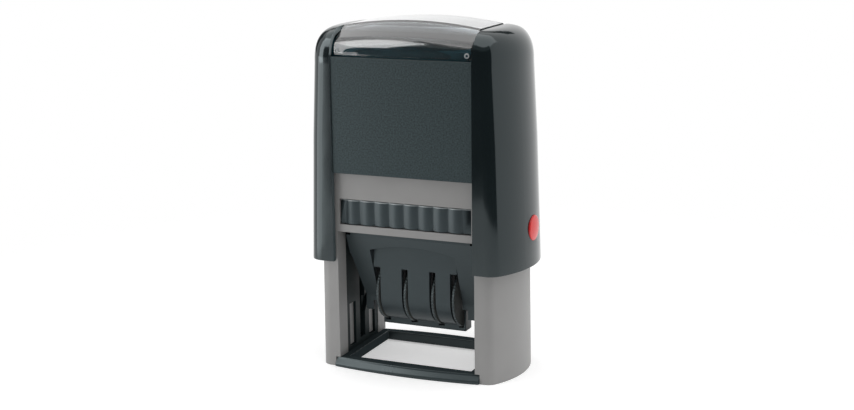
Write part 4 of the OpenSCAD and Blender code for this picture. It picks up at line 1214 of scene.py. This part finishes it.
class STAMP_OT_stage(Operator):
    """Pale floor, white surroundings, soft lamps and the camera"""

    bl_idname = "stamp.stage"
    bl_label = "Stage"

    FLOOR_STEPS = 96
    FLAG_STEPS = 48
    # Part of the floor's radius where it starts to fade out
    FADE = 0.35

    def floor(self, studio):
        """Pale floor that fades out into the white surroundings."""
        material, tree, shader, place = new_finish("pale_floor")
        shader.inputs["Base Color"].default_value = (0.92, 0.92, 0.92, 1)
        shader.inputs["Roughness"].default_value = 0.9
        shader.inputs["Specular IOR Level"].default_value = 0
        shader.inputs["Emission Color"].default_value = (1, 1, 1, 1)
        shader.inputs["Emission Strength"].default_value = studio.glow
        reach = tree.nodes.new("ShaderNodeVectorMath")
        reach.operation = "LENGTH"
        tree.links.new(place, reach.inputs[0])
        rim = (self.FADE * studio.floor_r, studio.floor_r)
        fade = mapped(tree, reach.outputs["Value"], rim, interpolation="SMOOTHSTEP")
        clear = tree.nodes.new("ShaderNodeBsdfTransparent")
        mix = tree.nodes.new("ShaderNodeMixShader")
        tree.links.new(fade, mix.inputs["Fac"])
        tree.links.new(shader.outputs["BSDF"], mix.inputs[1])
        tree.links.new(clear.outputs["BSDF"], mix.inputs[2])
        tree.links.new(mix.outputs["Shader"], tree.nodes["Material Output"].inputs["Surface"])
        bm = bmesh.new()
        bmesh.ops.create_circle(bm, cap_ends=True, segments=self.FLOOR_STEPS, radius=2 * studio.floor_r)
        floor = placed("floor", bm, [material])

    def surroundings(self, studio):
        """White to the camera and in reflections, softer as light on the object."""
        world = bpy.data.worlds.new("white_surroundings")
        bpy.context.scene.world = world
        world.use_nodes = True
        tree = world.node_tree
        back = tree.nodes["Background"]
        path = tree.nodes.new("ShaderNodeLightPath")
        seen = path.outputs["Is Camera Ray"]
        for kind in ("Is Glossy Ray", "Is Transmission Ray"):
            either = tree.nodes.new("ShaderNodeMath")
            either.operation = "MAXIMUM"
            tree.links.new(seen, either.inputs[0])
            tree.links.new(path.outputs[kind], either.inputs[1])
            seen = either.outputs["Value"]
        back.inputs["Color"].default_value = (1, 1, 1, 1)
        tree.links.new(mapped(tree, seen, target=(studio.ambient, 1)), back.inputs["Strength"])

    def flag(self, name, strength, reach, heights, bearings):
        """Curved card between heights and bearings in degrees, seen only in gloss and clear plastic."""
        first, last = bearings
        bm = bmesh.new()
        start = Vector((0, -reach, 0))
        start.rotate(Matrix.Rotation(math.radians(first), 3, "Z"))
        foot = bm.verts.new(start + Vector((0, 0, heights[0])))
        head = bm.verts.new(start + Vector((0, 0, heights[1])))
        edge = bm.edges.new((foot, head))
        bmesh.ops.spin(
            bm, geom=[foot, head, edge], cent=(0, 0, 0), axis=(0, 0, 1), angle=math.radians(last - first),
            steps=self.FLAG_STEPS,
        )
        material = bpy.data.materials.new(name)
        material.use_nodes = True
        tree = material.node_tree
        tree.nodes.remove(tree.nodes["Principled BSDF"])
        glow = tree.nodes.new("ShaderNodeEmission")
        glow.inputs["Color"].default_value = (*SLATE, 1)
        glow.inputs["Strength"].default_value = strength
        tree.links.new(glow.outputs["Emission"], tree.nodes["Material Output"].inputs["Surface"])
        card = placed(name, bm, [material])
        card.visible_camera = False
        card.visible_diffuse = False
        card.visible_shadow = False

    def lamp(self, name, power, size, place, aim, mirrored=True, lights=True):
        """Softbox at a place, aimed at a point, for reflections or light or both."""
        data = bpy.data.lights.new(name, "AREA")
        data.shape = "RECTANGLE"
        data.size, data.size_y = size
        data.energy = power
        lamp = bpy.data.objects.new(name, data)
        lamp.location = place
        lamp.rotation_euler = (Vector(aim) - Vector(place)).to_track_quat("-Z", "Y").to_euler()
        lamp.visible_camera = False
        lamp.visible_glossy = mirrored
        lamp.visible_diffuse = lights
        bpy.context.scene.collection.objects.link(lamp)

    def camera(self, studio):
        """Camera at the photograph's angle."""
        turn, rise = studio.azimuth, studio.elevation
        back = Vector((
            math.sin(turn) * math.cos(rise), -math.cos(turn) * math.cos(rise), math.sin(rise),
        ))
        level = Vector((math.cos(turn), math.sin(turn), 0))
        target = Vector((0, 0, studio.target_height)) + level * studio.target_side
        up = back.cross(level)
        right = level * math.cos(studio.roll) + up * math.sin(studio.roll)
        up = back.cross(right)
        data = bpy.data.cameras.new("camera")
        data.sensor_width = 36
        data.lens = studio.lens
        data.clip_start, data.clip_end = 0.01, 10
        camera = bpy.data.objects.new("camera", data)
        axes = Matrix((right, up, back)).transposed().to_4x4()
        camera.matrix_world = Matrix.Translation(target + back * studio.distance) @ axes
        bpy.context.scene.collection.objects.link(camera)
        bpy.context.scene.camera = camera

    def execute(self, context):
        studio = context.scene.stamp_studio
        self.camera(studio)
        self.floor(studio)
        self.surroundings(studio)
        front = studio.flag_reach
        low, middle, top = studio.skirt_h, studio.flag_h, studio.wall_h
        self.flag("front_skirt", studio.dark, front, heights=(0, low), bearings=(-30, 76))
        self.flag("front_flag", studio.dark, front, heights=(low, middle), bearings=(-35, 76))
        self.flag("front_wall", studio.dim, front, heights=(middle, top), bearings=(-33, 76))
        self.flag("rear_flag", studio.dark, reach=0.5, heights=(0.34, 0.43), bearings=(172, 225))
        self.flag("left_flag", studio.dark, reach=0.45, heights=(0.1, 0.4), bearings=(228, 262))
        self.lamp("key", studio.key, size=(1.6, 1.2), place=(0, 0, 0.9), aim=(0, 0, 0))
        self.lamp(
            "left", studio.left, size=(0.18, 0.3), place=(-0.21, -0.193, 0.21), aim=(0, 0, 0.1), lights=False,
        )
        self.lamp(
            "strip", studio.strip, size=(0.134, 0.1), place=(-0.1475, -0.113, 0.05), aim=(-0.03, -0.02, 0.05),
        )
        self.lamp(
            "right", studio.right, size=(0.14, 0.3), place=(0.235, 0, 0.15), aim=(0, 0, 0.15), mirrored=False,
        )
        context.scene.view_settings.view_transform = "Standard"
        return {"FINISHED"}


class STAMP_PT_pieces(Panel):
    """Lists the stamp's pieces and their sizes"""

    bl_idname = "STAMP_PT_pieces"
    bl_label = "Date Stamp"
    bl_space_type = "VIEW_3D"
    bl_region_type = "UI"
    bl_category = "Date Stamp"

    def draw(self, context):
        for operator in OPERATORS:
            self.layout.operator(operator.bl_idname)
        for group in (context.scene.stamp_sizes, context.scene.stamp_colours, context.scene.stamp_studio):
            column = self.layout.column()
            for name in group.__annotations__:
                column.prop(group, name)


OPERATORS = (
    STAMP_OT_stage, STAMP_OT_base, STAMP_OT_inner, STAMP_OT_spring, STAMP_OT_cap, STAMP_OT_panels,
    STAMP_OT_window, STAMP_OT_buttons, STAMP_OT_wheels, STAMP_OT_felt,
)
CLASSES = (StampSizes, StampColours, StampStudio, *OPERATORS, STAMP_PT_pieces)


def register():
    """Adds the classes and the scene's properties."""
    for cls in CLASSES:
        bpy.utils.register_class(cls)
    bpy.types.Scene.stamp_sizes = PointerProperty(type=StampSizes)
    bpy.types.Scene.stamp_colours = PointerProperty(type=StampColours)
    bpy.types.Scene.stamp_studio = PointerProperty(type=StampStudio)


def unregister():
    """Takes the properties and the classes out again."""
    for name in ("stamp_sizes", "stamp_colours", "stamp_studio"):
        delattr(bpy.types.Scene, name)
    for cls in reversed(CLASSES):
        bpy.utils.unregister_class(cls)


def main():
    """Makes the stage and every piece."""
    register()
    bpy.ops.stamp.stage()
    bpy.ops.stamp.base()
    bpy.ops.stamp.inner()
    bpy.ops.stamp.spring()
    bpy.ops.stamp.cap()
    bpy.ops.stamp.panels()
    bpy.ops.stamp.window()
    bpy.ops.stamp.buttons()
    bpy.ops.stamp.wheels()
    bpy.ops.stamp.felt()


if __name__ == "__main__":
    main()
